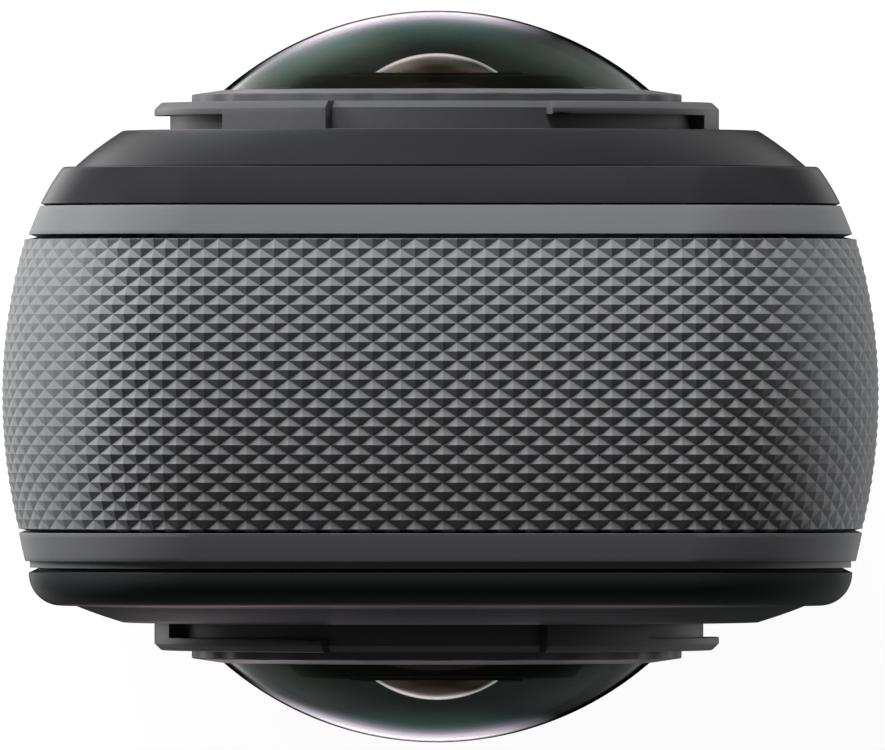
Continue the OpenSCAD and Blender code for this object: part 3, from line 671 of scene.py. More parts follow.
@dataclass(frozen=True)
class Coated(Finish):
    """A coated lens with a painted glow along its edge: an emission that stands in for a bright reflection
    there, though the lens is no lamp.
    """

    # colour of the painted glow along the lens's edge
    edge: Colour = (0.85, 0.76, 0.72)

    def dress(self, tree: Tree, shader: bpy.types.Node) -> None:
        """Link the coating and the painted glow along its edge."""
        self.surface(tree, shader)
        # painted highlight: the edge colour glows by emission where the surface turns away from view, in
        # place of a bright rim reflection
        glow_facing = tree.add("ShaderNodeLayerWeight").outputs["Facing"]
        tree.link(tree.scaled(self.edge, tree.ramp(glow_facing, (0.72, 0.95), (0.0, 1.0))),
                  shader.inputs["Emission Color"])
        shader.inputs["Emission Strength"].default_value = 1.0


@dataclass(frozen=True)
class Board(Finish):
    """Circuit board lacquer with copper tracks under it."""

    def dress(self, tree: Tree, shader: bpy.types.Node) -> None:
        """Show tracks as paler bands in the lacquer."""
        vector = self.surface(tree, shader)
        cells = tree.add("ShaderNodeTexBrick")
        tree.link(vector, cells.inputs["Vector"])
        cells.inputs["Scale"].default_value = 700.0
        cells.inputs["Color1"].default_value = (*self.colour, 1.0)
        cells.inputs["Color2"].default_value = (*(0.75 * c for c in self.colour), 1.0)
        cells.inputs["Mortar"].default_value = (*(1.7 * c for c in self.colour), 1.0)
        cells.inputs["Mortar Size"].default_value = 0.03
        tree.link(cells.outputs["Color"], shader.inputs["Base Color"])


@dataclass(frozen=True)
class Finishes:
    """Every finish of the camera, keyed by the record's material slots."""

    table: dict[str, Finish] = field(default_factory=lambda: {f.name: f for f in (
        Finish("grip", (0.225, 0.228, 0.235), 0.55, spread=0.1, specular=0.3),
        Finish("rim", (0.170, 0.172, 0.181), 0.45, spread=0.05, bump=0.03, specular=0.35),
        Finish("cover", (0.021, 0.021, 0.023), 0.28, spread=0.05, bump=0.03, specular=0.4),
        # front cover: its faint green tint and lower gloss are its own, but its tone is raised above the rear
        # cover's to make up for the key lamp's shade on the front, which is painted light
        Finish("front_panel", (0.034, 0.037, 0.038), 0.36, spread=0.05, bump=0.03, specular=0.05),
        Finish("frame_metal", (0.16, 0.165, 0.17), 0.45, 0.8, pattern=Pattern.STREAKS),
        Finish("ring_metal", (0.092, 0.093, 0.098), 0.42, spread=0.1, bump=0.05, specular=0.35),
        Glass("dome_glass", (0.74, 0.84, 0.81), 0.01, spread=0.03, rough_spread=0.01, bump=0.0, film=490.0),
        # the small coated lens, with a painted glow along its edge
        Coated("coated_glass", (0.62, 0.27, 0.19), 0.08, 0.75, rough_spread=0.04, bump=0.0, coat=0.5),
        Glass("inner_glass", (0.55, 0.60, 0.68), 0.02, rough_spread=0.02, bump=0.0, film=300.0),
        Finish("black_rubber", (0.012, 0.012, 0.013), 0.7, spread=0.2, bump=0.2),
        Finish("orange_rubber", (0.52, 0.16, 0.02), 0.6, spread=0.15, bump=0.2),
        Finish("flat_black", (0.008, 0.008, 0.008), 0.8, spread=0.2, bump=0.15, specular=0.1),
        Finish("sensor", (0.03, 0.035, 0.06), 0.12, 0.3, spread=0.3, scale=8000.0),
        Board("board", (0.012, 0.07, 0.04), 0.4, spread=0.2),
        Finish("bare_aluminium", (0.62, 0.63, 0.65), 0.35, 1.0, pattern=Pattern.STREAKS),
        Finish("pad", (0.32, 0.42, 0.48), 0.8, spread=0.25, bump=0.3),
        Finish("steel", (0.55, 0.55, 0.57), 0.28, 1.0, pattern=Pattern.STREAKS),
        Finish("screen_glass", (0.004, 0.004, 0.005), 0.05, spread=0.3, rough_spread=0.03, bump=0.0,
               coat=0.6),
        Finish("panel", (0.02, 0.02, 0.03), 0.2, spread=0.3),
        Finish("button", (0.035, 0.035, 0.038), 0.45, spread=0.1, bump=0.1),
        Finish("battery_wrap", (0.03, 0.03, 0.032), 0.4, spread=0.25, bump=0.12),
        Finish("latch", (0.05, 0.05, 0.054), 0.42, spread=0.1),
        Finish("gold", (0.85, 0.58, 0.22), 0.22, 1.0, pattern=Pattern.STREAKS),
        Finish("card", (0.02, 0.02, 0.022), 0.4, spread=0.2),
        Finish("mesh", (0.25, 0.25, 0.26), 0.45, 0.9, spread=0.6, scale=5000.0, bump=0.4),
        Finish("mic_can", (0.55, 0.55, 0.57), 0.35, 1.0, pattern=Pattern.STREAKS),
        Finish("light_pipe", (0.46, 0.49, 0.49), 0.3, spread=0.1),
    )})

    def of(self, slot: str) -> bpy.types.Material:
        """The material of a slot."""
        return self.table[slot].make()

    def node_slots(self) -> dict[str, str]:
        """The slot of each CAD node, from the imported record."""
        return {p["node"]: p["material_slot"] for p in frame["record"]["subparts"]}


FINISHES = Finishes()


def place_piece(obj: bpy.types.Object, body: str, slot: str, *nodes: str) -> None:
    """Give a piece its body, its finish and the nodes that it stands for.

    Args:
        obj: The piece.
        body: CAD body that it rides on.
        slot: Material slot that it takes its finish from.
        nodes: CAD nodes that it replaces.
    """
    obj.data.materials.clear()
    obj.data.materials.append(FINISHES.of(slot))
    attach(obj, body)
    if nodes:
        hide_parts(*nodes)
    log.info("%s rides on %s as %s", obj.name, body, slot)


@dataclass
class Opening:
    """A rounded opening in a side of the grip, in (way along the crown, depth)."""

    s: float
    y: float
    length: float
    width: float
    radius: float
    margin: float = 0.7

    def reach(self, s: float, y: float) -> float:
        """Distance of a point outside the opening, negative inside."""
        ds = abs(s - self.s) - self.length / 2 + self.radius
        dy = abs(y - self.y) - self.width / 2 + self.radius
        return math.hypot(max(ds, 0), max(dy, 0)) + min(max(ds, dy), 0) - self.radius

    def sides(self, segments: int = 6) -> list[tuple[Point, Point]]:
        """Points on the opening's edge with their outward normals, as a convex polygon."""
        rows = []
        for k in range(4):
            middle = math.radians(90 * k + 45)
            cs = self.s + math.copysign(self.length / 2 - self.radius, math.cos(middle))
            cy = self.y + math.copysign(self.width / 2 - self.radius, math.sin(middle))
            for j in range(segments + 1):
                a = math.radians(90 * k + 90 * j / segments)
                c, d = math.cos(a), math.sin(a)
                rows.append(((cs + self.radius * c, cy + self.radius * d), (c, d)))
        return rows


@dataclass
class GripBand:
    """Knurled band over the top end and down both sides.

    Each opening is (height, length, width, corner radius). Along the crown, the knurl loses depth over one
    range and regains it over another.
    """

    y0: float = -7.97
    y1: float = 7.2
    foot_z: float = 9.25
    thick: float = 2.6
    pitch: float = 1.466
    row: float = 0.977
    height: float = 0.3
    phase: Point = (0.126, -7.97)
    half_depth: float = 8.5
    near: float = 1.5
    battery: tuple[float, ...] = (54.0, 56.6, 11.8, 1.3)
    right: Sequence[tuple[float, ...]] = (
        (22.825, 16.95, 9.6, 0.8), (69.98, 13.6, 5.4, 2.7), (50.03, 13.6, 5.4, 2.7))
    fade: Point = (15.3, 21.0)
    regain: Point = (34.0, 46.0)
    shallow: float = 0.33

    def depth(self, s: float) -> float:
        """Depth of the knurl at a way along the crown, shallower round the corners."""
        lost, won = (min(max((abs(s) - a) / (b - a), 0.0), 1.0) for a, b in (self.fade, self.regain))
        lost, won = (t * t * (3 - 2 * t) for t in (lost, won))
        return self.height * (1 - (1 - self.shallow) * lost * (1 - won))

    def way(self, z: float, side: int) -> float:
        """Way along the crown to a height on one side."""
        top = OUTLINE.height - OUTLINE.corner
        return side * (OUTLINE.flat + OUTLINE.corner * math.pi / 2 + top - z)

    def openings(self) -> list[Opening]:
        """The openings for the battery, the port door and the side buttons."""
        rows = [(-1, self.battery)] + [(1, sizes) for sizes in self.right]
        return [Opening(self.way(z, side), OUTLINE.barrel_y, *sizes) for side, (z, *sizes) in rows]

    def build(self) -> bpy.types.Object:
        """Model the band as a flat sheet of pyramids and wrap it over the crown.

        Returns:
            The band.
        """
        shape = Shape()
        reach = self.way(self.foot_z, 1)
        dx, dy = self.pitch / 2, self.row / 2
        nx = 2 * math.ceil(reach / dx + 2)
        ny = 2 * math.ceil(self.half_depth / dy + 2)
        verts = bmesh.ops.create_grid(shape.bm, x_segments=nx, y_segments=ny, size=0.5)["verts"]
        bmesh.ops.scale(shape.bm, vec=(nx * dx, ny * dy, 1), verts=verts)
        row = round(self.phase[1] / dy)
        bmesh.ops.translate(shape.bm, verts=verts, vec=(self.phase[0], self.phase[1] - row * dy, 0))
        valley = []
        for v in verts:
            i = round((v.co.x - self.phase[0]) / dx)
            j = round((v.co.y - self.phase[1]) / dy)
            if (i + j) % 2:
                valley.append(v)
                v.co.z = -self.depth(v.co.x)
        bmesh.ops.connect_verts(shape.bm, verts=valley)
        shape.cut((0, self.y0, 0), -Y)
        shape.cut((0, self.y1, 0), Y)
        shape.cut((reach, 0, 0), X)
        shape.cut((-reach, 0, 0), -X)
        for opening in self.openings():
            self.open_up(shape, opening)
        bmesh.ops.recalc_face_normals(shape.bm, faces=shape.bm.faces)
        if sum(f.normal.z for f in shape.bm.faces) < 0:
            bmesh.ops.reverse_faces(shape.bm, faces=shape.bm.faces)
        bmesh.ops.solidify(shape.bm, geom=shape.bm.faces, thickness=self.thick)
        shape.bend(self.wrap)
        return shape.to_object("grip_band_knurled", Shading.FACETED)

    def open_up(self, shape: Shape, opening: Opening) -> None:
        """Cut one opening and level the knurl beside it.

        Args:
            shape: The flat sheet.
            opening: The opening.
        """
        for v in shape.bm.verts:
            if opening.reach(v.co.x, v.co.y) < opening.margin:
                v.co.z = -self.depth(v.co.x)
        inside = [f for f in shape.bm.faces
                  if any(opening.reach(v.co.x, v.co.y) < self.near for v in f.verts)]
        for (s, y), (c, d) in opening.sides():
            made = shape.cut((s, y, 0), (c, d, 0), False, inside)
            inside = [g for g in made if isinstance(g, BMFace)
                      and (g.calc_center_median() - Vector((s, y, 0))).dot(Vector((c, d, 0))) < 0]
        bmesh.ops.delete(shape.bm, geom=inside, context="FACES")

    def wrap(self, co: Vector) -> Vector:
        """Take a point of the flat sheet to its place on the band."""
        (x, z), (nx, nz) = OUTLINE.along(co.x)
        out = OUTLINE.crown(co.y) + co.z
        return Vector((x + nx * out, co.y, z + nz * out))

    def make(self) -> None:
        """Build and dress the band."""
        place_piece(self.build(), "camera", "grip", "grip_band")


@dataclass
class Rim:
    """Smooth rim beside the grip, with a set-back step at its front where it has one.

    The insets are distances inside the barrel at the two ends, and the step is its depth and set-back.
    """

    side: Side
    y0: float
    y1: float
    insets: Point
    step: Optional[Point] = None
    thick: float = 2.95
    soft: float = 0.035

    def profile(self, count: int = 6) -> list[Point]:
        """Section of the rim.

        Args:
            count: Count of segments along the barrel.

        Returns:
            Points of (distance outside the crown, depth).
        """
        rows = []
        for t in (k / count for k in range(count + 1)):
            y = self.y0 + (self.y1 - self.y0) * t
            rows.append((OUTLINE.crown(y) - self.insets[0] * (1 - t) - self.insets[1] * t, y))
        if self.step:
            depth, back = self.step
            rows[:0] = [(rows[0][0] - back, self.y0 - depth), (rows[0][0] - back, self.y0)]
        return rows + [(-self.thick, self.y1), (-self.thick, rows[0][1])]

    def make(self) -> None:
        """Build and dress the rim."""
        shape = Shape()
        OUTLINE.sweep(shape, self.profile(), True)
        ends = (self.y0, self.y1)
        shape.soften(lambda e: any(all(abs(v.co.y - y) < 1e-3 for v in e.verts) for y in ends), self.soft)
        piece = shape.to_object(f"{self.side.word}_rim_smooth")
        place_piece(piece, "camera", "rim", f"{self.side.word}_rim")


@dataclass
class Tunnel:
    """An opening through a cover: rings of (width, height, corner radius, depth)."""

    x: float
    z: float
    rings: Sequence[tuple[float, float, float, float]]
    segments: int = 8

    def add(self, shape: Shape) -> None:
        """Add the tunnel's walls to a cover."""
        turn = Matrix.Rotation(math.pi / 2, 4, "X")
        last: list[BMEdge] = []
        for w, h, r, y in self.rings:
            ring = shape.rounded_loop(w, h, r, Matrix.Translation((self.x, y, self.z)) @ turn, self.segments)
            if last:
                shape.bridge(last, ring)
            last = ring


@dataclass
class LensSizes:
    """Sizes of a lens, outwards along its axis from the lens plane."""

    x: float = -0.2
    z: float = 101.5
    platform: float = 13.0
    platform_r: float = 16.8
    bases: tuple[float, float] = (19.55, 19.33)
    groove: Point = (0.3, 0.09)
    bulge: float = 0.12
    neck_r: float = 14.1
    lug_r: float = 14.93
    lug_low: float = 13.77
    mount_top: float = 14.47
    bevel: float = 0.35
    edge_r: float = 11.972
    seal_low: float = 14.03
    bore_r: float = 10.212
    retainer_r: float = 13.0
    retainer_top: float = 15.15
    dome_r: float = 17.2
    dome_c: float = 2.15
    inner_r: float = 15.74
    inner_c: float = 3.31
    dome_seat: float = 14.5
    sleeve_low: float = 8.8
    sleeve_r: float = 13.2
    flange_low: float = 10.8
    flange_top: float = 11.8
    flange_r: float = 15.6
    collar_r: float = 14.0
    collar_top: float = 12.95

    def matrix(self, side: Side, x: Optional[float] = None) -> Matrix:
        """Find the matrix from a lens's own frame, with Z outwards, to the camera's.

        Args:
            side: Face that the lens looks out of.
            x: Place of the axis across the body, or the lens's own.

        Returns:
            The matrix.
        """
        turn = Matrix.Rotation(-math.pi / 2, 4, "X")
        if side is Side.FRONT:
            turn = Matrix.Rotation(math.pi, 4, "Z") @ turn
        return Matrix.Translation((self.x if x is None else x, 0, self.z)) @ turn

    def flank(self, side: Side, low: float, count: int = 6) -> list[Point]:
        """Points up the swollen flank of the platform, from the fine groove at the rear one's base.

        Args:
            side: Face that the lens looks out of.
            low: Height at which it leaves the cover.
            count: Count of segments.

        Returns:
            Points of (radius, height).
        """
        base, rise, rows = self.bases[0], 0.0, []
        if side is Side.REAR:
            base, rise = self.bases[1], self.groove[1]
            rows = [(base - self.groove[0], low), (base - self.groove[0], low + rise)]
        for k in range(count + 1):
            t = k / count
            r = base + (self.platform_r - base) * t + 4 * self.bulge * t * (1 - t)
            rows.append((r, low + rise + (self.platform - low - rise) * t))
        return rows


LENS = LensSizes()


@dataclass
class Cover:
    """Dark cover of a broad face with its raised lens platform."""

    side: Side
    slot: str
    face: float
    under: float
    edge: Sequence[Point]
    tunnels: Sequence[Tunnel]
    crest: float = 0.12
    crest_deep: float = 0.4

    def build(self) -> bpy.types.Object:
        """Model the cover from its swept edge, turned platform and tunnels.

        Returns:
            The cover.
        """
        shape = Shape()
        sign = self.side.value
        low = sign * self.face
        bore, recess = LENS.collar_r + FIT_GAP, LENS.flange_r + RUN_GAP
        shape.turned([(bore, LENS.platform), (bore, LENS.flange_top), (recess, LENS.flange_top),
                      (recess, sign * self.under)], 128, False)
        shape.place(Matrix.Translation((-sign * LENS.x, 0, 0)).inverted())
        shape.turned(LENS.flank(self.side, low), 144, False)
        shape.place(LENS.matrix(self.side, 0.0))
        OUTLINE.sweep(shape, self.edge, False)
        for tunnel in self.tunnels:
            tunnel.add(shape)
        shape.weld()
        for level in (self.face, self.under, sign * LENS.platform):
            shape.fill(1, level)
        shape.weld()
        outer = self.face - sign * self.crest_deep
        shape.soften(lambda e: all(sign * (v.co.y - outer) > 0 and not self.grooved(v.co) for v in e.verts),
                     self.crest)
        return shape.to_object(f"{self.side.word}_cover_moulded")

    def grooved(self, place: Vector) -> bool:
        """Tell whether a place is on the fine groove round the platform."""
        if self.side is Side.FRONT:
            return False
        away = math.hypot(place.x, place.z - LENS.z) - LENS.bases[1]
        return -1.5 * LENS.groove[0] < away < 0.1 and abs(place.y - self.face) < 1.5 * LENS.groove[1]

    def make(self) -> None:
        """Build and dress the cover."""
        place_piece(self.build(), "camera", self.slot, f"{self.side.word}_cover")


@dataclass
class LensUnit:
    """Bayonet ring, fluted ring, dome and the parts seen through the glass."""

    side: Side
    gap: tuple[int, int] = (-23, 24)
    lug: int = 47
    lead: float = 5.0
    lead_rise: float = 0.14
    seat_gap: float = 0.04
    flutes: int = 24
    flute_depth: float = 0.14
    flute_half: float = 1.3
    baffle: Sequence[Point] = ((3.55, 14.3), (9.21, 14.3), (9.21, 14.5), (7.9, 14.8), (7.2, 15.5),
                               (4.6, 15.5), (4.55, 15.64), (3.6, 15.64), (3.55, 15.6))
    cap_arc: tuple[float, float, float] = (5.58, 11.08, 15.426)
    cap_foot: Sequence[Point] = ((3.5, 14.26), (7.26, 14.26), (7.26, 12.4), (0, 12.4))

    def finish(self, shape: Shape, part: str, node: str, slot: str,
               shading: Shading = Shading.SOFT) -> None:
        """Put a part of the lens in place and dress it.

        Args:
            shape: The part's mesh in the lens's own frame.
            part: Name of the piece.
            node: Name of the node that it stands for.
            slot: Material slot.
            shading: How its faces meet.
        """
        shape.place(LENS.matrix(self.side))
        piece = shape.to_object(f"{self.side.word}_{part}", shading)
        place_piece(piece, "camera", slot, f"{self.side.word}_{node}")

    def bearing(self, co: Vector) -> float:
        """Angle of a point from the top, clockwise seen from above the rear lens."""
        return math.degrees(math.atan2(co.y, co.x)) + 90

    def mount(self) -> None:
        """Turn the bayonet ring and draw its lugs and stops out of the neck."""
        shape = Shape()
        top, bevel = LENS.mount_top, LENS.mount_top - LENS.bevel
        neck, seat = LENS.neck_r, LENS.edge_r + self.seat_gap
        shape.turned([(LENS.bore_r, LENS.sleeve_low), (LENS.sleeve_r, LENS.sleeve_low),
                      (LENS.sleeve_r, LENS.flange_low), (LENS.flange_r, LENS.flange_low),
                      (LENS.flange_r, LENS.flange_top), (LENS.collar_r, LENS.flange_top),
                      (LENS.collar_r, LENS.collar_top), (neck, LENS.collar_top), (neck, LENS.lug_low),
                      (neck, bevel), (neck - LENS.bevel, top), (seat, top), (seat, LENS.seal_low),
                      (LENS.bore_r, LENS.seal_low)], 360)
        start = self.gap[1]
        drawn = []
        for f in shape.bm.faces:
            co = f.calc_center_median()
            way = (self.bearing(co) - start) % 120
            low = LENS.lug_low if way < self.lug else LENS.collar_top + 0.01
            if way < 120 - (self.gap[1] - self.gap[0]) and co.xy.length > neck - LENS.bevel \
                    and low < co.z < top - 0.01:
                drawn.append(f)
        grow = LENS.lug_r / neck
        bmesh.ops.scale(shape.bm, vec=(grow, grow, 1), verts=shape.draw(drawn))
        shape.weld()
        clear_r, clear_z = neck + 0.2, LENS.platform + 0.1
        for v in shape.bm.verts:
            way = (self.bearing(v.co) - start) % 120
            if v.co.xy.length > clear_r and abs(v.co.z - LENS.lug_low) < 0.01 and way < self.lead:
                v.co.z += self.lead_rise * (1 - way / self.lead)
        shape.soften(lambda e: all(v.co.z > clear_z and v.co.xy.length > clear_r for v in e.verts),
                     0.05, 2, 30)
        self.finish(shape, "bayonet_ring", "lens_mount", "ring_metal")

    def retainer(self) -> None:
        """Turn the fluted ring and press its flutes in."""
        shape = Shape()
        r, top, low = LENS.retainer_r, LENS.retainer_top, LENS.mount_top
        shape.turned([(12.03, low), (r, low), (r, top - 0.31), (r - 0.06, top - 0.25), (11.38, top - 0.02),
                      (11.35, top - 0.06)], self.flutes * 16)
        half = math.degrees(self.flute_half / r)
        for v in shape.bm.verts:
            if v.co.xy.length < r - 0.1:
                continue
            off = (self.bearing(v.co) + 90) % (360 / self.flutes)
            off = min(off, 360 / self.flutes - off) / half
            if off < 1:
                dent = self.flute_depth * (0.5 + 0.5 * math.cos(math.pi * off))
                v.co.xy *= 1 - dent / r
                v.co.z += 0.13 * dent if v.co.z > low + 0.1 else 0.0
        self.finish(shape, "fluted_ring", "retainer", "ring_metal", Shading.CRISP)

    def arc(self, radius: float, centre: float, edge_z: float, count: int) -> list[Point]:
        """Points of an arc from a height up to the axis.

        Args:
            radius: Radius of the arc.
            centre: Height of its centre on the axis.
            edge_z: Height at which it starts.
            count: Count of segments.

        Returns:
            Points of (radius, height) ending on the axis.
        """
        a = math.asin((edge_z - centre) / radius)
        steps = [a + (math.pi / 2 - a) * k / count for k in range(count + 1)]
        return [(max(radius * math.cos(t), 0.0), centre + radius * math.sin(t)) for t in steps]

    def dome(self) -> None:
        """Turn the glass dome as a closed shell."""
        shape = Shape()
        outer = self.arc(LENS.dome_r, LENS.dome_c, LENS.dome_seat, 36)
        inner = self.arc(LENS.inner_r, LENS.inner_c, LENS.dome_seat, 32)
        shape.turned(outer[::-1] + inner, 144, False)
        self.finish(shape, "dome_shell", "dome", "dome_glass")

    def inside(self) -> None:
        """Turn the stepped baffle and the small coated lens under the dome."""
        baffle = Shape()
        baffle.turned(self.baffle, 96)
        baffle.soften(lambda e: True, 0.03, 2, 30)
        self.finish(baffle, "stepped_baffle", "baffle", "flat_black")
        lens = Shape()
        lens.turned(self.arc(*self.cap_arc, 16)[::-1] + list(self.cap_foot), 96, False)
        self.finish(lens, "coated_cap", "second_lens", "coated_glass")

    def make(self) -> None:
        """Build and dress the lens."""
        self.mount()
        self.retainer()
        self.dome()
        self.inside()


@dataclass
class Tile:
    """A piece that lies flush in a side, shaped to the barrel."""

    name: str
    body: str
    slot: str
    node: str
    side: int
    z: float
    width: float
    length: float
    radius: float
    thick: float
    sink: float = 0.05
    soft: float = 0.15

    def sheet(self, shape: Shape) -> None:
        """Model the tile flat, with X along the depth and Y up."""
        shape.slab(self.width, self.length, self.radius, self.thick)
        shape.soften(lambda e: all(v.co.z > -1e-4 for v in e.verts), self.soft, 3)

    def wrap(self, co: Vector) -> Vector:
        """Take a point of the flat tile to its place on the barrel."""
        y = OUTLINE.barrel_y + co.x
        out = OUTLINE.half_w + OUTLINE.crown(y) + co.z - self.sink
        return Vector((self.side * out, y, self.z + co.y))

    def curve(self, shape: Shape, strips: int = 12) -> None:
        """Cut the flat tile into strips and lay it on the barrel.

        Args:
            shape: The flat tile.
            strips: Count of strips across the barrel.
        """
        for k in range(1, strips):
            shape.cut((self.width * (k / strips - 0.5), 0, 0), X, False)
        shape.bend(self.wrap)

    def extras(self, shape: Shape) -> None:
        """Add what lies behind the tile, in place."""

    def make(self) -> None:
        """Build and dress the tile."""
        shape = Shape()
        self.sheet(shape)
        self.curve(shape)
        self.extras(shape)
        place_piece(shape.to_object(self.name), self.body, self.slot, self.node)


def block(shape: Shape, low: Sequence[float], high: Sequence[float], soft: float = 0.05) -> None:
    """Add a box with slightly soft edges to a mesh.

    Args:
        shape: Mesh to add to.
        low: Lowest corner.
        high: Highest corner.
        soft: Width of the bevel.
    """
    low_v, high_v = Vector(low), Vector(high)
    verts = bmesh.ops.create_cube(shape.bm, size=1)["verts"]
    bmesh.ops.scale(shape.bm, vec=high_v - low_v, verts=verts)
    bmesh.ops.translate(shape.bm, vec=(low_v + high_v) / 2, verts=verts)
    edges = list({e for v in verts for e in v.link_edges})
    bmesh.ops.bevel(shape.bm, geom=edges, offset=soft, segments=2, profile=0.5, affect="EDGES", material=-1)


def rod(shape: Shape, centre: Sequence[float], axis: str, radius: float, length: float,
        steps: int = 32, soft: float = 0.0) -> None:
    """Add a round rod to a mesh.

    Args:
        shape: Mesh to add to.
        centre: Middle of the rod.
        axis: Letter of the axis that it lies along.
        radius: Radius.
        length: Length.
        steps: Count of segments around.
        soft: Bevel of its two ends.
    """
    turn = {"X": Matrix.Rotation(math.pi / 2, 4, "Y"), "Y": Matrix.Rotation(math.pi / 2, 4, "X"),
            "Z": Matrix.Identity(4)}[axis]
    verts = bmesh.ops.create_cone(shape.bm, cap_ends=True, segments=steps, radius1=radius, radius2=radius,
                                  depth=length, matrix=Matrix.Translation(centre) @ turn)["verts"]
    if soft:
        caps = {f for v in verts for f in v.link_faces if len(f.verts) > 4}
        bmesh.ops.bevel(shape.bm, geom=list({e for f in caps for e in f.edges}), offset=soft, segments=2,
                        profile=0.5, affect="EDGES", material=-1)


@dataclass
class SideButton(Tile):
    """Sprung button on the side with its hidden flange and stem."""

    def extras(self, shape: Shape) -> None:
        """Add the flange and the stem."""
        turn = Matrix.Rotation(math.pi / 2, 4, "Z") @ Matrix.Rotation(math.pi / 2, 4, "X")
        verts = shape.slab(self.width + 1.2, self.length + 1.2, FULL_ROUND, 0.95)
        bmesh.ops.transform(shape.bm, matrix=Matrix.Translation((21.6, OUTLINE.barrel_y, self.z)) @ turn,
                            verts=verts)
        rod(shape, (19.9, OUTLINE.barrel_y, self.z), "X", 1.2, 2.1)


@dataclass
class BatteryFace(Tile):
    """Outer face of the battery with a pocket for each latch."""

    pocket: tuple[float, float, float] = (5.0, 8.6, 0.6)
    pocket_z: float = 20.0
    pocket_deep: float = 1.3

    def sheet(self, shape: Shape) -> None:
        """Model the face flat, with two pockets sunk into it."""
        w, l, r = self.pocket
        for z in (-self.pocket_z, self.pocket_z):
            rings = [(w + 0.2, l + 0.2, r + 0.1, 0.0), (w, l, r, -0.1), (w, l, r, -self.pocket_deep)]
            loops = [shape.rounded_loop(a, b, c, Matrix.Translation((0, z, h)), 6) for a, b, c, h in rings]
            shape.skin(loops)
        edge = [(self.width - 0.3, self.length - 0.3, self.radius - 0.1, 0.0),
                (self.width - 0.09, self.length - 0.09, self.radius, -0.045),
                (self.width, self.length, self.radius, -0.15),
                (self.width, self.length, self.radius, -self.thick)]
        loops = [shape.rounded_loop(a, b, c, Matrix.Translation((0, 0, h)), 6) for a, b, c, h in edge]
        shape.skin(loops)
        shape.weld()
        for level in (0.0, -self.pocket_deep, -self.thick):
            shape.fill(2, level)
        shape.weld()


@dataclass
class PortDoor(Tile):
    """Door over the port with its knuckle."""

    hinge: Point = (21.4, 16.3)

    def extras(self, shape: Shape) -> None:
        """Add the knuckle round the hinge pin."""
        rod(shape, (self.hinge[0], OUTLINE.barrel_y, self.hinge[1]), "Y", 1.18, self.width - 0.02, 40, 0.1)


@dataclass
class Latch:
    """Battery latch slider with finger grooves."""

    node: str
    body: str
    z: float
    width: float = 4.4
    length: float = 6.0
    grooves: Sequence[float] = (-1.6, 0.0, 1.6)
    groove_half: float = 0.35

    def make(self) -> None:
        """Build and dress the latch."""
        shape = Shape()
        shape.slab(self.width, self.length, 0.5, 1.2)
        for y in self.grooves:
            for d in (-self.groove_half, self.groove_half):
                shape.cut((0, y + d, 0), Y, False, [f for f in shape.bm.faces if f.normal.z > 0.9])
        grooves = [f for f in shape.bm.faces if f.normal.z > 0.9
                   and any(abs(f.calc_center_median().y - y) < 0.3 for y in self.grooves)]
        bmesh.ops.translate(shape.bm, vec=(0, 0, -0.3), verts=shape.draw(grooves))
        bmesh.ops.recalc_face_normals(shape.bm, faces=shape.bm.faces)
        shape.soften(lambda e: all(v.co.z > -0.31 for v in e.verts), 0.06, 2, 50)
        turn = Matrix.Rotation(-math.pi / 2, 4, "Z") @ Matrix.Rotation(math.pi / 2, 4, "X")
        shape.place(Matrix.Translation((-22.7, OUTLINE.barrel_y, self.z)) @ turn)
        block(shape, (-21.7, OUTLINE.barrel_y - 3, self.z - 3.8), (-21.1, OUTLINE.barrel_y + 3, self.z + 3.8))
        place_piece(shape.to_object(f"{self.node}_slider"), self.body, "latch", self.node)


@dataclass
class FrontButton:
    """Sprung button under the screen with a soft edge and a shallow dish."""

    node: str
    body: str
    x: float
    z: float = 12.4
    length: float = 13.0
    width: float = 6.6
    face: float = -12.27
    steps: Sequence[Point] = ((3.4, -0.14), (2.6, -0.125), (1.9, -0.06), (1.4, 0.0), (0.8, 0.0),
                              (0.35, -0.07), (0.1, -0.2), (0.0, -0.4), (0.0, -1.95))

    def make(self) -> None:
        """Build and dress the button."""
        shape = Shape()
        loops = [shape.rounded_loop(self.length - d, self.width - d, FULL_ROUND,
                                    Matrix.Translation((0, 0, z)), 14) for d, z in self.steps]
        shape.skin(loops)
        for z in (self.steps[0][1], self.steps[-1][1]):
            shape.fill(2, z)
        verts = shape.slab(self.length + 1.6, self.width + 1.6, FULL_ROUND, 0.6, 14)
        bmesh.ops.translate(shape.bm, vec=(0, 0, -1.75), verts=verts)
        rod(shape, (0, 0, -2.75), "Z", 1.2, 1.2)
        shape.place(Matrix.Translation((self.x, self.face, self.z)) @ Matrix.Rotation(math.pi / 2, 4, "X"))
        place_piece(shape.to_object(f"{self.node}_cap"), self.body, "button", self.node)


@dataclass
class Screen:
    """Screen glass set flush in the front cover."""

    z: float = 50.0
    width: float = 36.0
    height: float = 57.0
    radius: float = 4.0
    thick: float = 0.8
    face: float = -12.02

    def make(self) -> None:
        """Build and dress the glass."""
        shape = Shape()
        shape.slab(self.width, self.height, self.radius, self.thick, 14)
        shape.soften(lambda e: all(v.co.z > -1e-4 for v in e.verts), 0.25, 4)
        shape.place(Matrix.Translation((0, self.face, self.z)) @ Matrix.Rotation(math.pi / 2, 4, "X"))
        place_piece(shape.to_object("screen_glass_sheet"), "camera", "screen_glass", "screen_glass")


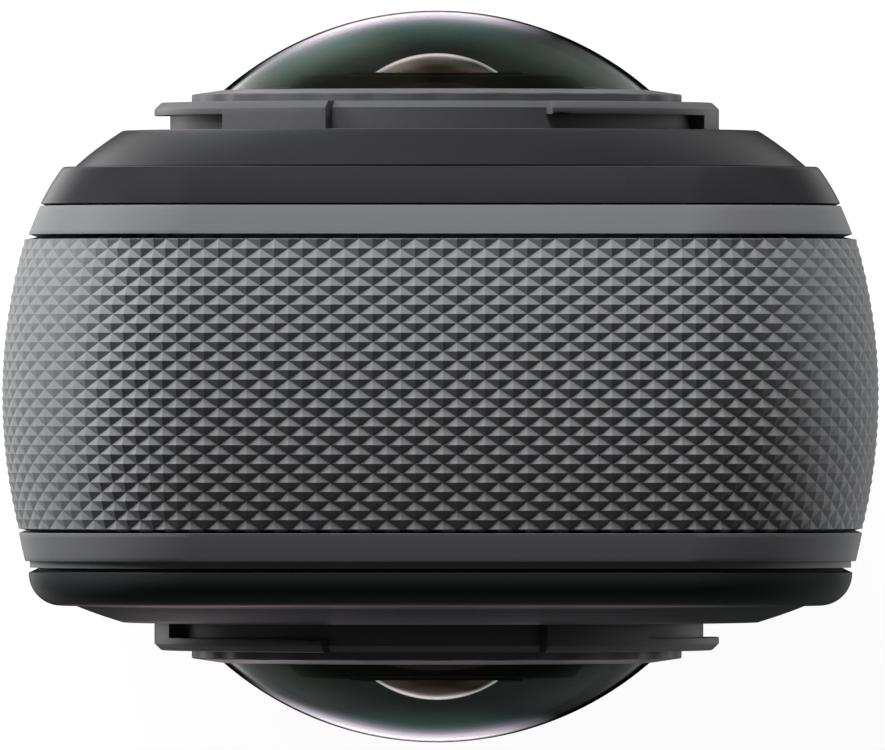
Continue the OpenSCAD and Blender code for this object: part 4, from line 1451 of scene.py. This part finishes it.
@dataclass
class Foot:
    """Smooth end of the band with the tripod thread in it."""

    y0: float = -8.16
    y1: float = 7.43
    thick: float = 2.95
    insert_r: float = 4.2
    thread_r: float = 2.55

    def cap(self) -> None:
        """Sweep the foot round the lower corners, cut it flat and open it for the insert."""
        shape = Shape()
        count = 16
        ys = [self.y0 + (self.y1 - self.y0) * k / count for k in range(count + 1)]
        profile = [(OUTLINE.crown(y), y) for y in ys] + [(-self.thick, self.y1), (-self.thick, self.y0)]
        flat, foot = OUTLINE.flat, OUTLINE.low + OUTLINE.corner
        first = shape.chain([(OUTLINE.half_w + u, y, foot) for u, y in profile], True)
        edges = shape.swing(first, Vector((flat, 0, foot)), Y, 90, 20)
        shape.swing(shape.pull(edges, -X * 2 * flat), Vector((-flat, 0, foot)), Y, 90, 20)
        shape.weld()
        shape.cut((0, 0, 0), -Z)
        inner = OUTLINE.low + self.thick
        level = [f for f in shape.bm.faces if all(abs(v.co.z - inner) < 1e-3 for v in f.verts)]
        bmesh.ops.delete(shape.bm, geom=level, context="FACES")
        rings = [(self.insert_r + 1.35, 0.0), (self.insert_r + 1.25, 0.1), (self.insert_r + 1.25, 1.3),
                 (self.insert_r + 0.05, 1.3), (self.insert_r + 0.05, inner)]
        loops = [self.ring(shape, r, z) for r, z in rings]
        shape.skin(loops)
        for z in (0.0, inner, foot):
            shape.fill(2, z)
        shape.weld()
        place_piece(shape.to_object("base_cap_moulded"), "camera", "cover", "base_cap")

    def ring(self, shape: Shape, radius: float, z: float) -> list[BMEdge]:
        """Make a circle of edges.

        Args:
            shape: Mesh to add to.
            radius: Radius.
            z: Height.

        Returns:
            The circle's edges.
        """
        verts = bmesh.ops.create_circle(shape.bm, segments=64, radius=radius,
                                        matrix=Matrix.Translation((0, 0, z)))["verts"]
        return list({e for v in verts for e in v.link_edges})

    def thread(self) -> None:
        """Turn the insert and wind a thread in its bore."""
        shape = Shape()
        r, bore = self.insert_r, self.thread_r + 0.55
        shape.turned([(0, 8.3), (bore, 8.3), (bore, 0.65), (bore + 0.35, 0.3), (r + 1.1, 0.3), (r + 1.2, 0.4),
                      (r + 1.2, 1.3), (r, 1.3), (r, 10.0), (0, 10.0)], 96, False)
        turns, pitch = 5, 1.27
        tooth = [(bore + 0.05, 0, 0.95), (self.thread_r, 0, 1.3), (self.thread_r, 0, 1.45),
                 (bore + 0.05, 0, 1.8)]
        edges = shape.chain(tooth, True)
        verts = list({v for e in edges for v in e.verts})
        bmesh.ops.contextual_create(shape.bm, geom=verts)
        steps = 40 * turns
        made = bmesh.ops.spin(shape.bm, geom=verts + edges, cent=(0, 0, 0), axis=Z, angle=math.tau * turns,
                              dvec=(0, 0, pitch * turns / steps), steps=steps)["geom_last"]
        bmesh.ops.contextual_create(shape.bm, geom=[g for g in made if isinstance(g, BMVert)])
        place_piece(shape.to_object("tripod_socket_threaded", Shading.CRISP), "camera", "bare_aluminium",
                    "tripod_socket")

    def make(self) -> None:
        """Build and dress the foot."""
        self.cap()
        self.thread()


class Interior:
    """CAD nodes that stay as they are and only get a finish."""

    def make(self) -> None:
        """Dress every node that is still shown."""
        slots = FINISHES.node_slots()
        for name, obj in frame["nodes"].items():
            obj.data.materials.clear()
            obj.data.materials.append(FINISHES.of(slots[name]))
            if not obj.hide_render:
                log.info("%s keeps its solid as %s", name, slots[name])


@dataclass
class Lamp:
    """A soft lamp: where it stands, what it looks at, its size and its level."""

    name: str
    place: tuple[float, float, float]
    size: float
    level: float
    target: tuple[float, float, float] = (0.0, 0.0, 0.1)

    def make(self) -> None:
        """Make the lamp, hidden from the camera, gloss and glass."""
        data = bpy.data.lights.new(self.name, "AREA")
        data.shape = "DISK"
        data.size = self.size
        way = Vector(self.target) - Vector(self.place)
        data.energy = self.level * math.pi ** 2 * way.length_squared
        obj = bpy.data.objects.new(self.name, data)
        obj.location = self.place
        obj.rotation_euler = way.to_track_quat("-Z", "Y").to_euler()
        obj.visible_camera = obj.visible_glossy = obj.visible_transmission = False
        bpy.context.scene.collection.objects.link(obj)


@dataclass
class Studio:
    """Camera, lamps, world and floor."""

    lens: float = 1200.0
    sensor: float = 36.0
    plane: float = 0.113
    scale: float = 0.0525 * MM
    width_px: int = 885
    centre: Point = (0.105 * MM, 0.079 * MM)
    ambient: float = 0.044
    room: Point = (0.28, 0.15)
    card: Sequence[tuple[float, Colour]] = (
        (0.040, (0.02, 0.02, 0.02)), (0.046, (1.0, 0.81, 0.885)), (0.067, (0.97, 0.78, 0.86)),
        (0.076, (0.59, 0.45, 0.53)), (0.090, (0.31, 0.285, 0.315)), (0.105, (0.145, 0.22, 0.215)),
        (0.140, (0.096, 0.143, 0.135)), (0.162, (0.06, 0.08, 0.075)), (0.190, (0.02, 0.02, 0.02)))
    card_level: float = 1.7
    left: Point = (1.6, 0.40)
    right: Point = (0.28, 0.64)
    lamps: Sequence[Lamp] = (
        Lamp("key_lamp", (-0.175, 0.63, 0.355), 0.42, 1.44),
        Lamp("left_lamp", (-0.64, 0.38, 0.13), 0.38, 0.88),
        Lamp("right_lamp", (0.72, 0.20, 0.06), 0.50, 0.20),
        Lamp("low_front_lamp", (0.05, -0.50, -0.20), 0.30, 0.30),
        Lamp("low_right_lamp", (0.50, 0.00, -0.20), 0.30, 0.82),
        Lamp("low_left_lamp", (-0.50, 0.00, -0.20), 0.30, 0.30),
    )

    def camera(self) -> None:
        """Look straight down on the top end."""
        data = bpy.data.cameras.new("camera")
        data.lens = self.lens
        data.sensor_width = self.sensor
        away = self.width_px * self.scale * self.lens / self.sensor
        data.clip_start, data.clip_end = 0.05, away + 2.0
        obj = bpy.data.objects.new("camera", data)
        obj.location = (*self.centre, self.plane + away)
        bpy.context.scene.collection.objects.link(obj)
        bpy.context.scene.camera = obj

    def world(self) -> None:
        """White round the camera, a pale horizon under a dim ceiling for gloss, and a low ambient."""
        world = bpy.data.worlds.new("studio")
        bpy.context.scene.world = world
        world.use_nodes = True
        tree = Tree(world.node_tree)
        world.node_tree.nodes.clear()
        split = tree.add("ShaderNodeSeparateXYZ")
        tree.link(tree.add("ShaderNodeTexCoord").outputs["Generated"], split.inputs[0])
        room = tree.times(tree.ramp(split.outputs["Z"], (0.05, 0.55), self.room),
                         tree.ramp(split.outputs["Z"], (-0.95, -0.75), (0.08, 1.0)))
        path = tree.add("ShaderNodeLightPath")
        gloss = tree.gloss(path)
        level = tree.math("ADD", tree.times(gloss, tree.math("SUBTRACT", room, self.ambient)),
                          self.ambient)
        level = tree.math("MAXIMUM", level, path.outputs["Is Camera Ray"])
        shader = tree.add("ShaderNodeBackground")
        shader.inputs["Color"].default_value = (1.0, 1.0, 1.0, 1.0)
        tree.link(level, shader.inputs["Strength"])
        tree.link(shader.outputs[0], tree.add("ShaderNodeOutputWorld").inputs["Surface"])

    def floor(self) -> None:
        """Lay a pale floor that is clear from below, to light from below and under the foot."""
        shape = Shape()
        bmesh.ops.create_circle(shape.bm, cap_ends=True, segments=96, radius=1500)
        obj = shape.to_object("floor", Shading.FACETED)
        if obj.data.polygons[0].normal.z < 0:
            obj.data.flip_normals()
        material = bpy.data.materials.new("floor")
        material.use_nodes = True
        tree = Tree(material.node_tree)
        material.node_tree.nodes.clear()
        path = tree.add("ShaderNodeLightPath")
        place = tree.add("ShaderNodeTexCoord").outputs["Object"]
        matte = tree.add("ShaderNodeBsdfDiffuse")
        speck = tree.math("ADD", tree.times(tree.noise(place, 40.0), 0.02), 0.98)
        gloss = tree.gloss(path)
        shade = tree.math("SUBTRACT", speck, tree.times(gloss, 0.95))
        tree.link(tree.scaled((0.14, 0.14, 0.14), shade), matte.inputs["Color"])
        far = tree.add("ShaderNodeVectorMath", operation="LENGTH")
        tree.link(place, far.inputs[0])
        away = far.outputs["Value"]
        cards = self.cards(tree, place, away)
        near = tree.ramp(away, (0.15, 0.45), (0.955, 1.0))
        white = tree.times(path.outputs["Is Camera Ray"], near)
        glow = tree.add("ShaderNodeEmission")
        total = tree.add("ShaderNodeVectorMath", operation="ADD")
        tree.link(tree.scaled(cards, gloss), total.inputs[0])
        tree.link(tree.scaled((1.0, 1.0, 1.0), white), total.inputs[1])
        tree.link(total.outputs[0], glow.inputs["Color"])
        lit = tree.add("ShaderNodeAddShader")
        tree.link(matte.outputs[0], lit.inputs[0])
        tree.link(glow.outputs[0], lit.inputs[1])
        clear = tree.add("ShaderNodeMixShader")
        below = tree.add("ShaderNodeNewGeometry").outputs["Backfacing"]
        foot = tree.ramp(away, (0.022, 0.026), (1.0, 0.0))
        under = tree.math("SUBTRACT", foot, path.outputs["Is Camera Ray"])
        unseen = tree.math("MAXIMUM", tree.math("MAXIMUM", below, path.outputs["Is Shadow Ray"]), under)
        tree.link(unseen, clear.inputs[0])
        tree.link(lit.outputs[0], clear.inputs[1])
        tree.link(tree.add("ShaderNodeBsdfTransparent").outputs[0], clear.inputs[2])
        tree.link(clear.outputs[0], tree.add("ShaderNodeOutputMaterial").inputs["Surface"])
        obj.data.materials.append(material)
        obj.location.z = -0.0002

    def cards(self, tree: Tree, place: bpy.types.NodeSocket, away: bpy.types.NodeSocket
              ) -> bpy.types.NodeSocket:
        """Lay the bright cards that only gloss and glass show, before, behind and beside the camera.

        Args:
            tree: The floor's tree.
            place: Coordinates on the floor.
            away: Distance from the middle.

        Returns:
            The colour of the cards.
        """
        split = tree.add("ShaderNodeSeparateXYZ")
        tree.link(place, split.inputs[0])
        x = split.outputs["X"]
        lean = tree.math("SUBTRACT", tree.times(tree.math("ABSOLUTE", split.outputs["Y"]), 0.99),
                         tree.times(x, 0.13))
        ahead = tree.ramp(tree.math("DIVIDE", lean, away), (0.875, 0.994), (0.0, self.card_level))
        front = tree.ramp(split.outputs["Y"], (-0.105, -0.075), (0.5, 1.0))
        aside = tree.times(tree.ramp(tree.math("ABSOLUTE", x), (0.018, 0.035), (0.0, 0.9)),
                          tree.ramp(split.outputs["Y"], (-0.03, 0.03), (1.0, 0.0)))
        ahead = tree.times(ahead, tree.times(front, tree.math("SUBTRACT", 1.0, aside)))
        reach = self.card[-1][0]
        bands = tree.add("ShaderNodeValToRGB")
        for at, _ in self.card[1:-1]:
            bands.color_ramp.elements.new(at / reach)
        for element, (at, colour) in zip(bands.color_ramp.elements, self.card):
            element.position = at / reach
            element.color = (*colour, 1.0)
        tree.link(tree.math("DIVIDE", away, reach), bands.inputs[0])
        turn = tree.math("DIVIDE", x, away)
        left = tree.times(tree.ramp(x, (-0.05, -0.012), (1.0, 0.0)),
                         tree.ramp(turn, (-0.92, -0.55), self.left))
        right = tree.times(tree.ramp(x, (0.015, 0.06), (0.0, 1.0)),
                          tree.ramp(turn, (0.55, 0.92), self.right))
        beside = tree.times(tree.math("ADD", left, right), tree.ramp(away, (0.050, 0.066), (0.0, 1.0)))
        beside = tree.times(beside, tree.ramp(away, (0.09, 0.26), (1.0, 0.15)))
        beside = tree.times(beside, tree.ramp(split.outputs["Y"], (-0.06, 0.01), (0.3, 1.0)))
        both = tree.add("ShaderNodeVectorMath", operation="ADD")
        tree.link(tree.scaled(bands.outputs["Color"], ahead), both.inputs[0])
        tree.link(tree.scaled((1.0, 1.0, 1.0), beside), both.inputs[1])
        return both.outputs[0]

    def make(self) -> None:
        """Set up the studio."""
        bpy.context.scene.view_settings.view_transform = "Standard"
        self.camera()
        self.world()
        self.floor()
        for lamp in self.lamps:
            lamp.make()


def round_hole(x: float, z: float, size: Point, levels: Point, segments: int) -> Tunnel:
    """Open a straight hole with round ends through a cover.

    Args:
        x: Place of the hole across the cover.
        z: Height of the hole.
        size: Width and height of the hole.
        levels: Depths of the cover's face and inner side.
        segments: Count of segments in each corner.

    Returns:
        The hole.
    """
    return Tunnel(x, z, [(*size, FULL_ROUND, y) for y in levels], segments)


def sound_and_light(levels: Point) -> list[Tunnel]:
    """The holes of the two microphones and the light below a lens."""
    z = 80.4
    sound = [round_hole(x, z, (0.9, 0.9), levels, 5) for x in (-9, 9)]
    return sound + [round_hole(0, z, (3.1, 1.1), levels, 6)]


def front_cover() -> Cover:
    """The front cover with its round edge, screen recess, button holes, microphones and light."""
    face, under, rim = Screen.face, -10.82, -10.2
    bend, edge_r, wall, steps = -3.1, 1.7, -4.5, 12
    arc = [(bend + edge_r * math.cos(a), face + edge_r - edge_r * math.sin(a))
           for a in (math.radians(1 + 89 * k / steps) for k in range(steps + 1))]
    edge = [(wall, under), (wall, rim), (-1.6, rim), (-1.4, rim - 0.08)] + arc + [(bend - 0.1, face)]
    recess = (Screen.width + 2 * FIT_GAP, Screen.height + 2 * FIT_GAP, Screen.radius + FIT_GAP)
    window, ledge = (33, 54, 3), face + Screen.thick
    rings = [(*recess, face), (*recess, ledge), (*window, ledge), (*window, under)]
    tunnels = [Tunnel(0, Screen.z, rings, 14)]
    button = (FrontButton.length + 2 * RUN_GAP, FrontButton.width + 2 * RUN_GAP)
    tunnels += [round_hole(x, FrontButton.z, button, (face, under), 14) for x in (-8.5, 8.5)]
    tunnels += sound_and_light((face, under))
    return Cover(Side.FRONT, "front_panel", face, under, edge, tunnels)


def rear_cover() -> Cover:
    """The rear cover with its leaning edge, sound slots, microphones and light."""
    face, under, rim = 11.0, 9.8, 9.07
    (cu, cy), edge_r, wall, steps = (-11.969, 4.351), 11, -4.5, 8
    a0, a1 = math.asin((rim - cy) / edge_r), math.asin((face - cy) / edge_r)
    arc = [(cu + edge_r * math.cos(a), cy + edge_r * math.sin(a))
           for a in (a0 + (a1 - a0) * k / steps for k in range(steps + 1))]
    edge = [(wall, under), (wall, rim)] + arc + [(-3.4, face)]
    tunnels = [round_hole(9, 17 + 1.6 * k, (6.4, 0.8), (face, under), 5) for k in range(-2, 3)]
    tunnels += sound_and_light((face, under))
    return Cover(Side.REAR, "cover", face, under, edge, tunnels)


def main() -> None:
    """Build the studio and every sub-assembly."""
    logging.basicConfig(level=logging.INFO, format="%(name)s: %(message)s")
    parts = [
        Studio(),
        GripBand(),
        Rim(Side.FRONT, -9.68, -8.18, (-0.12, -0.02), (0.34, 0.25)),
        Rim(Side.REAR, 7.45, 8.96, (0.135, 0.245)),
        front_cover(),
        rear_cover(),
        LensUnit(Side.FRONT),
        LensUnit(Side.REAR),
        Screen(),
        FrontButton("shutter_button", "shutter", -8.5),
        FrontButton("mode_button", "mode", 8.5),
        SideButton("power_button_cap", "power", "button", "power_button", 1, 69.98, 4.8, 13.0, 9, 1.7),
        SideButton("quick_button_cap", "quick", "button", "quick_button", 1, 50.03, 4.8, 13.0, 9, 1.7),
        BatteryFace("battery_face_shell", "battery", "rim", "battery_face", -1, 54.0, 11.2, 56.0, 1.0, 2.1),
        Latch("upper_latch", "latch_high", 75.0),
        Latch("lower_latch", "latch_low", 33.0),
        PortDoor("usb_door_leaf", "port_door", "rim", "usb_door", 1, 24.0, 9.0, 14.0, 0.6, 1.4),
        Foot(),
        Interior(),
    ]
    for part in parts:
        part.make()


if __name__ == "__main__":
    main()
